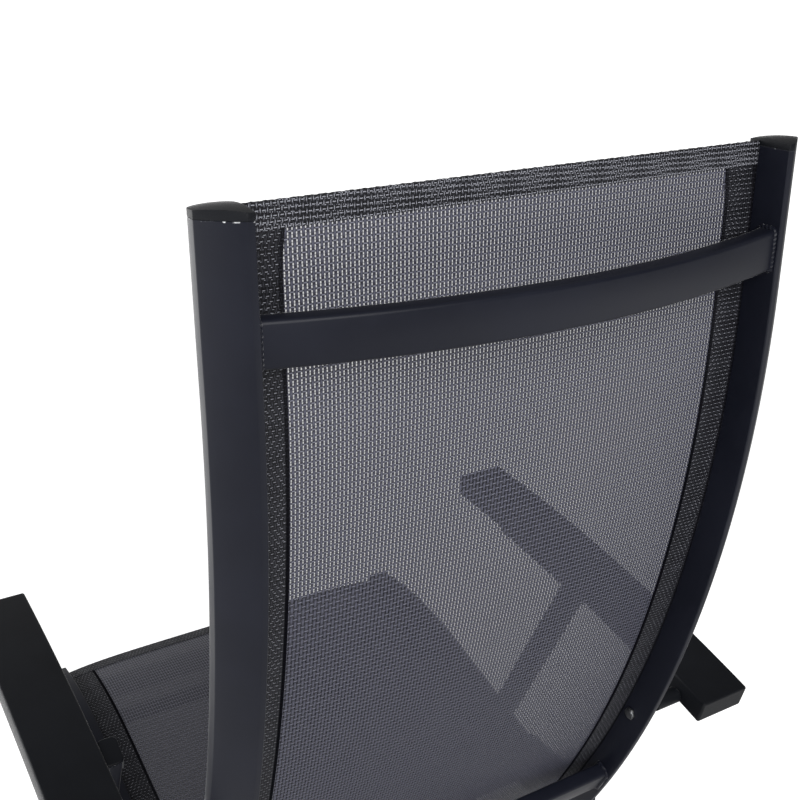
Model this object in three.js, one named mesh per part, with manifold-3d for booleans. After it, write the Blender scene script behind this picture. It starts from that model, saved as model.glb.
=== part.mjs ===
// Folding high-back sling armchair with a reclining back.
// Millimetres. +X is the sitter's left, the chair faces -Y, +Z is up.
// Side views use (forward, height): forward counts from the rear face of the upright back rails.
import * as THREE from "three";
import { mergeVertices } from "three/addons/utils/BufferGeometryUtils.js";
import Module from "manifold-3d";

const wasm = await Module();
wasm.setup();

// Driving dimensions of the frame
const seatWidth = 420; // between the inner faces of the rails
const backHeight = 1109; // top ends of the back rails
const backUprightLength = 109; // straight stretch at the top of the back
const backLeanDegrees = 31.7; // the back rails sweep forward below it to this lean at the hinge
const backPivotHeight = 364; // hinge of the back on the seat
const seatReach = 433; // front end of the seat rails ahead of the hinge
const seatCrownHeight = 438; // highest line of the seat rails
const seatLength = 393; // seat rails, along the curve
const seatRadius = 400; // round front of the seat
const seatRoundLength = 170; // part of the rail that is round
const seatSlopeDegrees = 14.5; // fall of the seat towards the back

// Rail profile, shared by the back and the seat: outboard width by depth
const railWidth = 29;
const railDepth = 39;
const railLand = 5; // flat strip beside the inner edge
const railShoulder = 20.5; // where the slanted face meets the outer side
const railSide = 7; // flat outer side
const railEdge = 1.2; // small edge radius
const railBulge = 1.6; // crown of the slanted face
const railWall = 1.8;
const channelInset = 6.5; // cord channel from the inner face
const channelDepth = 30.5; // cord channel from the rear face
const channelRadius = 4.2;
const slotWidth = 3.2;
const splineRadius = 2.6;
const slingThickness = 1.2;

// Legs, armrests and bars
const seatPivotSetback = 119; // pivot of the front legs, from the rear end of the seat rail
const legWidth = 18;
const frontLegDepth = 27;
const rearLegDepth = 24;
const legWall = 1.8;
const legEdge = 5;
const legAboveArmPin = 24; // leg tube past the armrest pin
const footClearance = 8; // lowest end of a leg tube above the floor
const footLength = 46;
const footWall = 3;
const rearFootSetback = 186; // rear leg's centre line near the floor, behind the hinge
const saddleSetback = 57; // rod that carries the seat front, from the front end
const rodRadius = 9;
const saddleDrop = 6; // plastic between the rail and the rod
const saddleWall = 5;
const saddleLipDegrees = -30; // the hook goes round the rod from here
const saddleHeelDegrees = 130; // to here
const armWidth = 58;
const armThickness = 26;
const armLength = 442;
const armRadius = 1910; // the armrest is arched
const armRearSlopeDegrees = 15.4;
const armPivotRise = 207; // pivot of the armrest, along the back rail from its hinge
const armPivotSetback = 35; // from the rear end of the armrest
const armPivotDepth = 21; // below the top of the armrest
const armEdge = 2.5;
const armWall = 3;
const armRoof = 4;
const armSolidRear = 56; // solid stretch round the pivot
const armSolidFront = 10;
const armPocketShare = 0.5; // depth of the bolt's pocket across the armrest
const armBoltShare = 0.35; // reach of the bolt in it
const rackWidth = 28;
const rackTeeth = 6;
const rackNotchDepth = 5.5;
const rackOverrun = 16; // rack past its first and last seat
const armPinRadius = 5;
const armPinReach = 30;
const barHeight = 31;
const barDepth = 15;
const barWall = 1.6;
const barEdge = 3;
const crossbarDrop = 59; // upper edge of the bowed bar below the rails' ends
const crossbarInset = 4; // rear face ahead of the rail's rear face
const crossbarBow = 33;
const lowerBarRise = 95; // lower bar above the hinge, along the rail
const footBarHeight = 95; // bar between the front legs
const rearBarHeight = 62;
const footBarRadius = 11;
const plateThickness = 4.5;
const plateRadius = 16;
const plateHoldLength = 45; // plate on the seat rail
const boltRadius = 4;
const boltHeadRadius = 7.5;
const boltHeadHeight = 3.2;
const boltRimShare = 0.35; // straight rim of the domed head
const boltCrownShare = 0.7; // radius where the dome flattens
const boltCrownRiseShare = 0.85;
const nutRadius = 6.5;
const nutHeight = 3.4;
const nutSides = 6;
const spacerRadius = 8;
const capSkirt = 4.5;
const capDome = 3.4;
const capDomeRadius = 55;
const capApexShare = 0.55; // of the rail's width and depth
const plugLength = 14;
const plugShare = 0.8; // plug outline against the chamber
const endCapThickness = 3;
const railFoot = 24; // back rail past the hinge
const seatBarSetback = 34; // front bar from the front end
const seatBarDrop = 8; // bars below the sling
const slingEnd = 12; // sling from the lower or rear rail end

// Motion, for the places that follow it
const reclineDegrees = 40;
const armFollowShare = 0.54; // armrest turns back on the back rail by this share

// Fits
const gap = 0.3; // between touching pieces
const pinClearance = 0.8; // armrest pin under the rack's teeth
const saddleClearance = 0.9; // rod in its saddle
const mergeDistance = 0.0003; // vertices closer than this are one
const overrun = 2; // every cut goes this far past
const laneClearance = 10.7; // seat rail to front leg
const armClearance = 1.2; // front leg to armrest
const rearLegClearance = 5; // rear leg to the rails above

const curveSteps = 2;
const backSteps = 15;
const seatSteps = 11;
const armSteps = 12;
const rackSteps = 8;
const crossbarSteps = 12;
const domeSides = 24;
const roundSides = 12;

const railInner = seatWidth / 2;
const railOuter = railInner + railWidth;
const plateOuter = railOuter + gap + plateThickness;
const frontLegInner = railOuter + laneClearance;
const frontLegOuter = frontLegInner + legWidth;
const armInner = frontLegOuter + armClearance;
const rearLegOuter = railInner - rearLegClearance;
const rearLegInner = rearLegOuter - legWidth;

const rad = THREE.MathUtils.degToRad;

// Materials: powder-coated aluminium, black plastic, woven sling, bare fasteners
function material(color, roughness, metalness) {
  return new THREE.MeshStandardMaterial({ color, roughness, metalness });
}
const frameCoat = () => material(0x34373f, 0.42, 0.55);
const plastic = () => material(0x26282b, 0.6, 0);
const woven = () => material(0x4a4a50, 0.85, 0);
const steel = () => material(0x6d7075, 0.35, 0.9);

// Side-view points and directions
function point(forward, height) {
  return new THREE.Vector2(forward, height);
}
function headingOf(direction) {
  return THREE.MathUtils.radToDeg(Math.atan2(direction.y, direction.x));
}
function step(from, degrees, distance) {
  const angle = rad(degrees);
  return point(from.x + distance * Math.cos(angle), from.y + distance * Math.sin(angle));
}

// A course is a run of straight and round stretches in side view.
// at(distance) gives the place there and the heading in degrees; a positive turn goes to the left.
function course(start, heading, stretches) {
  function at(distance) {
    let place = start;
    let angle = heading;
    let left = distance;
    stretches.forEach(({ length, radius, side }, index) => {
      const last = index === stretches.length - 1;
      const run = last ? left : Math.min(left, length);
      left -= run;
      if (!radius) {
        place = step(place, angle, run);
        return;
      }
      const centre = step(place, angle + 90 * side, radius);
      angle += THREE.MathUtils.radToDeg(run / radius) * side;
      place = step(centre, angle - 90 * side, radius);
    });
    return { place, angle };
  }
  return { at };
}

// Place at a distance along a course and a distance to its left
function beside(line, distance, left) {
  const { place, angle } = line.at(distance);
  return step(place, angle + 90, left);
}

// Geometry to solid and back
function solid(geometry) {
  const bare = geometry.clone();
  bare.deleteAttribute("normal");
  bare.deleteAttribute("uv");
  const merged = mergeVertices(bare, mergeDistance);
  return new wasm.Manifold(
    new wasm.Mesh({
      numProp: 3,
      vertProperties: merged.attributes.position.array,
      triVerts: new Uint32Array(merged.index.array),
    }),
  );
}
function geometryOf(body) {
  const { vertProperties, triVerts } = body.getMesh();
  const geometry = new THREE.BufferGeometry();
  geometry.setAttribute("position", new THREE.BufferAttribute(vertProperties, 3));
  geometry.setIndex(new THREE.BufferAttribute(triVerts, 1));
  const flat = geometry.toNonIndexed();
  flat.computeVertexNormals();
  return flat;
}
function cut(body, ...tools) {
  return tools.reduce((rest, tool) => rest.subtract(tool), body);
}

// A section (outboard, left of the course) pushed along a course
function sweep(section, line, from, to, steps, inner) {
  const geometry = new THREE.ExtrudeGeometry(section, {
    depth: to - from,
    steps,
    curveSegments: curveSteps,
    bevelEnabled: false,
  });
  const places = geometry.attributes.position;
  for (let i = 0; i < places.count; i += 1) {
    const spot = beside(line, from + places.getZ(i), places.getY(i));
    places.setXYZ(i, inner + places.getX(i), -spot.x, spot.y);
  }
  return solid(geometry);
}

// A side-view outline given a thickness across the chair
function slab(outline, inner, outer) {
  const geometry = new THREE.ExtrudeGeometry(outline, {
    depth: outer - inner,
    curveSegments: curveSteps,
    bevelEnabled: false,
  });
  return solid(geometry.applyMatrix4(turnedAcross(outer, point(0, 0))));
}

// Turns an outline drawn in side view to run across the chair from one side
function turnedAcross(side, origin) {
  const across = new THREE.Matrix4().makeBasis(
    new THREE.Vector3(0, -1, 0),
    new THREE.Vector3(0, 0, 1),
    new THREE.Vector3(-1, 0, 0),
  );
  return across.setPosition(side, -origin.x, origin.y);
}

// A round bar across the chair
function rod(centre, radius, inner, outer, sides = roundSides) {
  const geometry = new THREE.CylinderGeometry(radius, radius, outer - inner, sides);
  geometry.rotateZ(Math.PI / 2);
  geometry.translate((inner + outer) / 2, -centre.x, centre.y);
  return solid(geometry);
}
function bore(centre, inner, outer) {
  return rod(centre, boltRadius + gap, inner - overrun, outer + overrun);
}

// Sections
function roundedBox(width, depth, edge) {
  const shape = new THREE.Shape();
  const x = width / 2 - edge;
  const y = depth / 2 - edge;
  shape.absarc(x, y, edge, 0, Math.PI / 2);
  shape.absarc(-x, y, edge, Math.PI / 2, Math.PI);
  shape.absarc(-x, -y, edge, Math.PI, Math.PI * 1.5);
  shape.absarc(x, -y, edge, Math.PI * 1.5, Math.PI * 2);
  return shape;
}
function tubeSection(width, depth, edge, wall) {
  const shape = roundedBox(width, depth, edge);
  const inside = roundedBox(width - 2 * wall, depth - 2 * wall, edge - wall / 2);
  shape.holes.push(inside);
  return shape;
}
function block(low, high, left, right) {
  const shape = new THREE.Shape();
  shape.moveTo(left, low);
  shape.lineTo(right, low);
  shape.lineTo(right, high);
  shape.lineTo(left, high);
  return shape;
}
function disc(x, y, radius) {
  const shape = new THREE.Shape();
  shape.absarc(x, y, radius, 0, Math.PI);
  shape.absarc(x, y, radius, Math.PI, Math.PI * 2);
  return shape;
}
function capsule(a, b, radius) {
  const angle = Math.atan2(b.y - a.y, b.x - a.x);
  const shape = new THREE.Shape();
  shape.absarc(b.x, b.y, radius, angle - Math.PI / 2, angle + Math.PI / 2);
  shape.absarc(a.x, a.y, radius, angle + Math.PI / 2, angle + Math.PI * 1.5);
  return shape;
}

// Outer outline of the rail; with a channel it takes the sling's cord
function railOutline(withChannel) {
  const shape = new THREE.Shape();
  const front = railDepth - railShoulder - railSide;
  shape.moveTo(0, railEdge);
  shape.lineTo(railEdge, 0);
  shape.lineTo(railLand, 0);
  const middle = point((railLand + railWidth) / 2 + railBulge, railShoulder / 2 - railBulge);
  shape.quadraticCurveTo(middle.x, middle.y, railWidth, railShoulder);
  shape.lineTo(railWidth, railShoulder + railSide);
  shape.quadraticCurveTo(railWidth, railDepth, railWidth - front, railDepth);
  shape.lineTo(railEdge, railDepth);
  shape.lineTo(0, railDepth - railEdge);
  if (withChannel) {
    const half = slotWidth / 2;
    const spread = Math.asin(half / channelRadius);
    shape.lineTo(0, channelDepth + half);
    shape.absarc(channelInset, channelDepth, channelRadius, Math.PI - spread, spread - Math.PI, true);
    shape.lineTo(0, channelDepth - half);
  }
  return shape;
}

// Hollow chamber of the rail, also the outline of the plugs in its ends
function chamber(share) {
  const floor = channelDepth - channelRadius - railWall;
  const side = channelInset + channelRadius + railWall;
  const corners = [
    point(railWall, railWall),
    point(railLand, railWall),
    point(railWidth - railWall, railShoulder + railWall / 2),
    point(railWidth - railWall, railShoulder + railSide),
    point(railWidth - railSide, railDepth - railWall),
    point(side, railDepth - railWall),
    point(side, floor),
    point(railWall, floor),
  ];
  const middle = point(side + railWall, railShoulder - railWall);
  const path = new THREE.Shape();
  path.setFromPoints(corners.map((corner) => corner.lerp(middle, 1 - share)));
  return path;
}
function railSection() {
  const shape = railOutline(true);
  shape.holes.push(chamber(1));
  return shape;
}

// Courses of the rails, armrests and legs
const backDrop = backHeight - backUprightLength - backPivotHeight;
const backRadius = railDepth / 2 + backDrop / Math.sin(rad(backLeanDegrees));
const backLine = course(point(0, backHeight), -90, [
  { length: backUprightLength },
  { length: backRadius, radius: backRadius, side: 1 },
]);
const backPivotDistance = backUprightLength + backRadius * rad(backLeanDegrees);
const backPivot = beside(backLine, backPivotDistance, railDepth / 2);
const backLength = backPivotDistance + railFoot;

// The seat rail's lower line runs under its round top line
const seatFront = backPivot.x + seatReach;
const seatCrownForward = seatFront - seatRoundLength + seatRadius * Math.sin(rad(seatSlopeDegrees));
const seatCentre = point(seatCrownForward, seatCrownHeight - seatRadius);
const seatLowRadius = seatRadius - railDepth;
const roundStart = step(seatCentre, 90 + seatSlopeDegrees, seatLowRadius);
const straightLength = seatLength - seatRoundLength;
const seatLine = course(step(roundStart, seatSlopeDegrees, -straightLength), seatSlopeDegrees, [
  { length: straightLength },
  { length: seatRadius, radius: seatLowRadius, side: -1 },
]);
const seatRailLength = straightLength + seatRoundLength * (seatLowRadius / seatRadius);

const armPivot = beside(backLine, backPivotDistance - armPivotRise, railDepth / 2);
const armStretches = [{ length: armLength, radius: armRadius, side: -1 }];
const armFromRear = course(point(0, 0), armRearSlopeDegrees, armStretches);
const armRear = armPivot.clone().sub(beside(armFromRear, armPivotSetback, -armPivotDepth));
const armLine = course(armRear, armRearSlopeDegrees, armStretches);

// The legs run parallel to the line from the hinge to the armrest pivot, so the armrests stay level
// while the chair folds
const seatPivot = beside(seatLine, seatPivotSetback, railDepth / 2);
const armPin = seatPivot.clone().add(armPivot).sub(backPivot);
const legHeading = headingOf(backPivot.clone().sub(armPivot));
const frontLegTop = step(armPin, legHeading, -legAboveArmPin);
const legSlope = rad(-legHeading);
const legEndRise = (frontLegDepth / 2) * Math.cos(legSlope);
const frontLegDrop = frontLegTop.y - footClearance - legEndRise;
const frontLegLength = frontLegDrop / Math.sin(legSlope);
const frontLegLine = course(frontLegTop, legHeading, [{ length: frontLegLength }]);

// Where the straight line through a point meets another
function meet(a, degreesA, b, degreesB) {
  const u = step(point(0, 0), degreesA, 1);
  const v = step(point(0, 0), degreesB, 1);
  const across = b.clone().sub(a).cross(v) / u.cross(v);
  return a.clone().addScaledVector(u, across);
}

// Rear legs run from the floor behind up to the rod in the saddles
const saddleRail = beside(seatLine, seatRailLength - saddleSetback, 0);
const rodCentre = point(saddleRail.x, saddleRail.y - saddleDrop - rodRadius);
const rearFoot = point(backPivot.x - rearFootSetback, footClearance + rearLegDepth / 2);
const rearReach = rodCentre.clone().sub(rearFoot);
const rearHeading = headingOf(rearReach);
const rearLegLength = rearReach.length() - rodRadius - gap;
const rearLegLine = course(rearFoot, rearHeading, [{ length: rearLegLength }]);
const legPivot = meet(armPin, legHeading, rearFoot, rearHeading);

// Nodes are kept by the body that they move with
const chair = new THREE.Group();
const bodies = {};
for (const name of ["seat", "backPivots", "back", "armPivots", "arms", "frontLegs", "rearLegs"]) {
  bodies[name] = new THREE.Group();
  chair.add(bodies[name]);
}
function add(body, name, shape, finish) {
  const mesh = new THREE.Mesh(geometryOf(shape), finish());
  mesh.name = name;
  bodies[body].add(mesh);
}
// A piece on the left side and its mirror image on the right
function addPair(body, name, shape, finish) {
  for (const [side, scale] of [["left", 1], ["right", -1]]) {
    const mesh = new THREE.Mesh(geometryOf(shape), finish());
    mesh.name = name + "_" + side;
    mesh.scale.x = scale;
    bodies[body].add(mesh);
  }
}

// Bolt across the chair: domed head outboard, hexagonal nut inboard
function bolt(centre, inner, outer) {
  const shank = rod(centre, boltRadius, inner - nutHeight, outer + boltHeadHeight / 2);
  const nut = rod(centre, nutRadius, inner - nutHeight, inner - gap, nutSides);
  const profile = [
    point(0, 0),
    point(boltHeadRadius, 0),
    point(boltHeadRadius, boltHeadHeight * boltRimShare),
    point(boltHeadRadius * boltCrownShare, boltHeadHeight * boltCrownRiseShare),
    point(0, boltHeadHeight),
  ];
  const head = new THREE.LatheGeometry(profile, roundSides);
  head.rotateZ(-Math.PI / 2);
  head.translate(outer + gap, -centre.x, centre.y);
  return shank.add(nut).add(solid(head));
}
function spacer(centre, inner, outer) {
  const sleeve = rod(centre, spacerRadius, inner + gap, outer - gap);
  return cut(sleeve, bore(centre, inner, outer));
}

// Back: two rails with caps, two bars, sling and its cords
function buildBack() {
  const rail = sweep(railSection(), backLine, 0, backLength, backSteps, railInner);
  const holes = [backPivot, armPivot].map((centre) => bore(centre, railInner, railOuter));
  addPair("back", "back_rail", cut(rail, ...holes), frameCoat);

  const capTop = -capSkirt - capDome - overrun;
  const capBlank = sweep(railOutline(false), backLine, capTop, -gap, 1, railInner);
  const dome = new THREE.SphereGeometry(capDomeRadius, domeSides, domeSides);
  const domeTop = backHeight + capSkirt + capDome;
  dome.translate(railInner + railWidth * capApexShare, -railDepth * capApexShare, domeTop - capDomeRadius);
  const plug = sweep(chamber(plugShare), backLine, -capSkirt, plugLength, 1, railInner);
  addPair("back", "back_cap", capBlank.intersect(solid(dome)).add(plug), plastic);

  const footEnd = backLength + endCapThickness;
  const foot = sweep(railOutline(false), backLine, backLength + gap, footEnd, 1, railInner);
  const footPlug = sweep(chamber(plugShare), backLine, backLength - plugLength, footEnd - gap, 1, railInner);
  addPair("back", "back_foot_cap", foot.add(footPlug), plastic);

  const round = disc(channelInset, channelDepth, splineRadius);
  const cords = sweep(round, backLine, gap, backLength - slingEnd, backSteps, railInner);
  addPair("back", "back_cord", cords, plastic);

  const reach = railInner + channelInset - splineRadius - gap;
  const half = slingThickness / 2;
  const sheet = block(channelDepth - half, channelDepth + half, -reach, reach);
  const slingFoot = backPivotDistance - plateRadius - slingEnd;
  add("back", "back_sling", sweep(sheet, backLine, gap, slingFoot, backSteps, 0), woven);

  add("back", "back_crossbar", bowedBar(), frameCoat);
  const lower = beside(backLine, backPivotDistance - lowerBarRise, crossbarInset + barDepth / 2);
  const lean = backLine.at(backPivotDistance - lowerBarRise).angle + 90;
  add("back", "back_lower_bar", straightBar(lower, lean), frameCoat);
}

// Flat tube between the two sides; lean 0 stands it upright
function straightBar(centre, lean) {
  const reach = railInner - gap;
  const section = tubeSection(barDepth, barHeight, barEdge, barWall);
  const geometry = new THREE.ExtrudeGeometry(section, {
    depth: 2 * reach,
    curveSegments: curveSteps / 2,
    bevelEnabled: false,
  });
  geometry.translate(0, 0, -reach);
  geometry.rotateZ(rad(lean));
  return solid(geometry.applyMatrix4(turnedAcross(0, centre)));
}

// The bar behind the sling bows away from it
function bowedBar() {
  const section = tubeSection(barHeight, barDepth, barEdge, barWall);
  const length = 2 * (railInner - gap);
  const geometry = new THREE.ExtrudeGeometry(section, {
    depth: length,
    steps: crossbarSteps,
    curveSegments: curveSteps / 2,
    bevelEnabled: false,
  });
  const places = geometry.attributes.position;
  for (let i = 0; i < places.count; i += 1) {
    const across = places.getZ(i) - length / 2;
    const bow = crossbarBow * (1 - (across / railInner) ** 2);
    const rear = bow - crossbarInset - barDepth / 2 + places.getY(i);
    places.setXYZ(i, across, rear, backHeight - crossbarDrop - barHeight / 2 - places.getX(i));
  }
  return solid(geometry);
}

// Seat: two rails with caps, two bars, sling, cords, hinge plates and leg saddles
function buildSeat() {
  const rail = sweep(railSection(), seatLine, 0, seatRailLength, seatSteps, railInner);
  addPair("seat", "seat_rail", cut(rail, bore(seatPivot, railInner, railOuter)), frameCoat);

  const rearCover = sweep(railOutline(false), seatLine, -endCapThickness, -gap, 1, railInner);
  const rearPlug = sweep(chamber(plugShare), seatLine, gap - endCapThickness, plugLength, 1, railInner);
  addPair("seat", "seat_rear_cap", rearCover.add(rearPlug), plastic);

  const frontEnd = seatRailLength + endCapThickness;
  const frontCover = sweep(railOutline(false), seatLine, seatRailLength + gap, frontEnd, 1, railInner);
  const plugStart = seatRailLength - plugLength;
  const frontPlug = sweep(chamber(plugShare), seatLine, plugStart, frontEnd - gap, 1, railInner);
  addPair("seat", "seat_front_cap", frontCover.add(frontPlug), plastic);

  const round = disc(channelInset, channelDepth, splineRadius);
  const cords = sweep(round, seatLine, slingEnd, seatRailLength - gap, seatSteps, railInner);
  addPair("seat", "seat_cord", cords, plastic);

  const reach = railInner + channelInset - splineRadius - gap;
  const half = slingThickness / 2;
  const sheet = block(channelDepth - half, channelDepth + half, -reach, reach);
  add("seat", "seat_sling", sweep(sheet, seatLine, slingEnd, seatRailLength - gap, seatSteps, 0), woven);

  const barRise = channelDepth - seatBarDrop - barDepth / 2;
  for (const [name, distance] of [
    ["seat_front_bar", seatRailLength - seatBarSetback],
    ["seat_rear_bar", seatBarSetback],
  ]) {
    const lean = seatLine.at(distance).angle + 90;
    add("seat", name, straightBar(beside(seatLine, distance, barRise), lean), frameCoat);
  }

  const plateEnd = beside(seatLine, plateHoldLength, railDepth / 2);
  const plate = slab(capsule(backPivot, plateEnd, plateRadius), railOuter + gap, plateOuter);
  addPair("seat", "hinge_plate", cut(plate, bore(backPivot, railOuter, plateOuter)), frameCoat);

  addPair("seat", "leg_saddle", legSaddle(), plastic);
}

// Hook under the seat rail that holds the rear legs' rod from above and in front
function legSaddle() {
  const inside = rodRadius + saddleClearance;
  const outside = inside + saddleWall;
  const top = saddleRail.y + saddleWall;
  const rear = rodCentre.x - 2 * rodRadius;
  const front = rodCentre.x + 2 * rodRadius;
  const heel = step(rodCentre, saddleHeelDegrees, outside);
  const tip = step(rodCentre, saddleLipDegrees, outside);
  const hook = new THREE.Shape();
  hook.absarc(rodCentre.x, rodCentre.y, inside, rad(saddleLipDegrees), rad(saddleHeelDegrees));
  hook.lineTo(heel.x, heel.y);
  hook.lineTo(rear, saddleRail.y - saddleWall / 2);
  hook.lineTo(rear, top);
  hook.lineTo(front, top);
  hook.lineTo(front, saddleRail.y - saddleWall);
  hook.lineTo(rodCentre.x + outside, rodCentre.y);
  hook.lineTo(tip.x, tip.y);
  const body = slab(hook, railInner + railWall, railOuter - railSide);
  const above = block(-gap, railDepth, -overrun, railWidth);
  const clear = sweep(above, seatLine, 0, seatRailLength, seatSteps, railInner);
  return cut(body, clear);
}

// Hinge bolts of the back
function buildBackPivots() {
  addPair("backPivots", "back_pivot_bolt", bolt(backPivot, railInner, plateOuter), steel);
}

// Place of the armrest pin in the armrest's rest frame when the back leans by a given angle
function rackSeat(degrees) {
  const turned = armPivot.clone().rotateAround(backPivot, rad(degrees));
  const reach = armPin.clone().sub(turned);
  reach.rotateAround(point(0, 0), rad(-degrees * (1 - armFollowShare)));
  return armPivot.clone().add(reach);
}

// Depth of a place below the armrest's arched top
function belowArm(spot) {
  const centre = step(armRear, armRearSlopeDegrees - 90, armRadius);
  return armRadius - spot.distanceTo(centre);
}

// Armrests with their racks
function buildArms() {
  const width = armWidth / 2;
  const outline = roundedBox(armWidth, armThickness, armEdge);
  const blank = sweep(shifted(outline, width, -armThickness / 2), armLine, 0, armLength, armSteps, armInner);
  const inside = block(-armThickness - overrun, -armRoof, armWall, armWidth - armWall);
  const hollow = sweep(inside, armLine, armSolidRear, armLength - armSolidFront, armSteps, armInner);
  const pocket = bore(armPivot, armInner, armInner + armWidth * armPocketShare);
  addPair("arms", "armrest", cut(blank, hollow, pocket), plastic);

  const seats = [];
  for (let i = 0; i <= rackTeeth; i += 1) seats.push(rackSeat((reclineDegrees * i) / rackTeeth));
  const highest = Math.min(...seats.map(belowArm));
  const tips = highest - armPinRadius - pinClearance;
  const start = seats[0].x - armRear.x - rackOverrun / 2;
  const end = start + seats[rackTeeth].distanceTo(seats[0]) + 2 * rackOverrun;
  const bar = block(-tips, -armRoof - gap, armWall + gap, armWall + gap + rackWidth);
  const notches = seats.slice(1).map((seat) => {
    const slot = capsule(seat, step(seat, 90, rackNotchDepth), armPinRadius + gap);
    return slab(slot, armInner - overrun, armInner + armWidth);
  });
  const rack = sweep(bar, armLine, start, end, rackSteps, armInner);
  addPair("arms", "arm_rack", cut(rack, ...notches), plastic);
}
function shifted(shape, x, y) {
  const moved = new THREE.Shape();
  moved.setFromPoints(shape.getPoints(curveSteps).map((spot) => point(spot.x + x, spot.y + y)));
  return moved;
}

// Bolts that carry the armrests on the back rails
function buildArmPivots() {
  const grip = armInner + armWidth * armBoltShare;
  const shank = rod(armPivot, boltRadius, railInner - nutHeight, grip);
  const nut = rod(armPivot, nutRadius, railInner - nutHeight, railInner - gap, nutSides);
  addPair("armPivots", "arm_pivot_bolt", shank.add(nut), steel);
  addPair("armPivots", "arm_pivot_spacer", spacer(armPivot, railOuter, armInner), plastic);
}

// Boot on the end of a leg tube, cut flat on the floor
function boot(line, [from, to], [socketFrom, socketTo], depth, inner) {
  const outer = roundedBox(legWidth + 2 * footWall, depth + 2 * footWall, legEdge + footWall / 2);
  const blank = sweep(outer, line, from, to, 1, inner + legWidth / 2);
  const inside = roundedBox(legWidth + 2 * gap, depth + 2 * gap, legEdge);
  const hollow = sweep(inside, line, socketFrom, socketTo, 1, inner + legWidth / 2);
  const far = backHeight;
  const floor = slab(block(-far, 0, -far, far), 0, railOuter + armWidth);
  return cut(blank, hollow, floor);
}
function legTube(line, length, depth, inner) {
  return sweep(tubeSection(legWidth, depth, legEdge, legWall), line, 0, length, 1, inner + legWidth / 2);
}

// Front legs: tubes, bar, feet, top caps, armrest pins and the pivots on them
function buildFrontLegs() {
  const tube = legTube(frontLegLine, frontLegLength, frontLegDepth, frontLegInner);
  const holes = [armPin, seatPivot, legPivot].map((centre) => bore(centre, frontLegInner, frontLegOuter));
  addPair("frontLegs", "front_leg", cut(tube, ...holes), frameCoat);

  const footTop = frontLegLength - footLength;
  const socket = [footTop - overrun, frontLegLength + gap];
  const shell = [footTop, frontLegLength + footLength];
  const foot = boot(frontLegLine, shell, socket, frontLegDepth, frontLegInner);
  addPair("frontLegs", "front_foot", foot, plastic);

  const cover = roundedBox(legWidth, frontLegDepth, legEdge);
  const cap = sweep(cover, frontLegLine, -endCapThickness, -gap, 1, frontLegInner + legWidth / 2);
  const less = 2 * (legWall + gap);
  const inside = roundedBox(legWidth - less, frontLegDepth - less, legEdge - legWall);
  const plug = sweep(inside, frontLegLine, -endCapThickness / 2, plugLength, 1, frontLegInner + legWidth / 2);
  addPair("frontLegs", "front_leg_cap", cap.add(plug), plastic);

  const barDistance = (frontLegTop.y - footBarHeight) / Math.sin(legSlope);
  const centre = frontLegLine.at(barDistance).place;
  add("frontLegs", "front_leg_bar", roundTube(centre, frontLegInner - gap), frameCoat);

  const pinEnd = armInner + armPinReach;
  const pin = rod(armPin, boltRadius, frontLegInner - nutHeight, pinEnd);
  const roller = rod(armPin, armPinRadius, frontLegOuter + gap, pinEnd);
  const head = rod(armPin, nutRadius, frontLegInner - nutHeight, frontLegInner - gap);
  addPair("frontLegs", "arm_pin", pin.add(roller).add(head), steel);

  addPair("frontLegs", "seat_pivot_bolt", bolt(seatPivot, railInner, frontLegOuter), steel);
  addPair("frontLegs", "seat_pivot_spacer", spacer(seatPivot, railOuter, frontLegInner), plastic);
  addPair("frontLegs", "leg_pivot_bolt", bolt(legPivot, rearLegInner, frontLegOuter), steel);
  addPair("frontLegs", "leg_pivot_spacer", spacer(legPivot, rearLegOuter, frontLegInner), plastic);
}

// Round tube between two legs
function roundTube(centre, reach) {
  const inside = rod(centre, footBarRadius - barWall, -reach - overrun, reach + overrun);
  return cut(rod(centre, footBarRadius, -reach, reach), inside);
}

// Rear legs: tubes, bar, feet and the rod that the seat hooks onto
function buildRearLegs() {
  const tube = legTube(rearLegLine, rearLegLength, rearLegDepth, rearLegInner);
  addPair("rearLegs", "rear_leg", cut(tube, bore(legPivot, rearLegInner, rearLegOuter)), frameCoat);

  const socket = [-gap, footLength + overrun];
  const shell = [-footLength, footLength];
  const foot = boot(rearLegLine, shell, socket, rearLegDepth, rearLegInner);
  addPair("rearLegs", "rear_foot", foot, plastic);

  const barDistance = (rearBarHeight - rearFoot.y) / Math.sin(rad(rearHeading));
  const bar = roundTube(rearLegLine.at(barDistance).place, rearLegInner - gap);
  add("rearLegs", "rear_leg_bar", bar, frameCoat);

  const rodEnd = railOuter - railSide;
  add("rearLegs", "rear_leg_rod", rod(rodCentre, rodRadius, -rodEnd, rodEnd), frameCoat);
}

buildSeat();
buildBackPivots();
buildBack();
buildArmPivots();
buildArms();
buildFrontLegs();
buildRearLegs();

// The origin is on the floor under the middle of the chair
const reach = new THREE.Box3().setFromObject(chair);
chair.position.y = -(reach.min.y + reach.max.y) / 2;
chair.position.z = -reach.min.z;

export default chair;
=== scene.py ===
from math import asin, cos, pi, radians, sin

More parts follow.
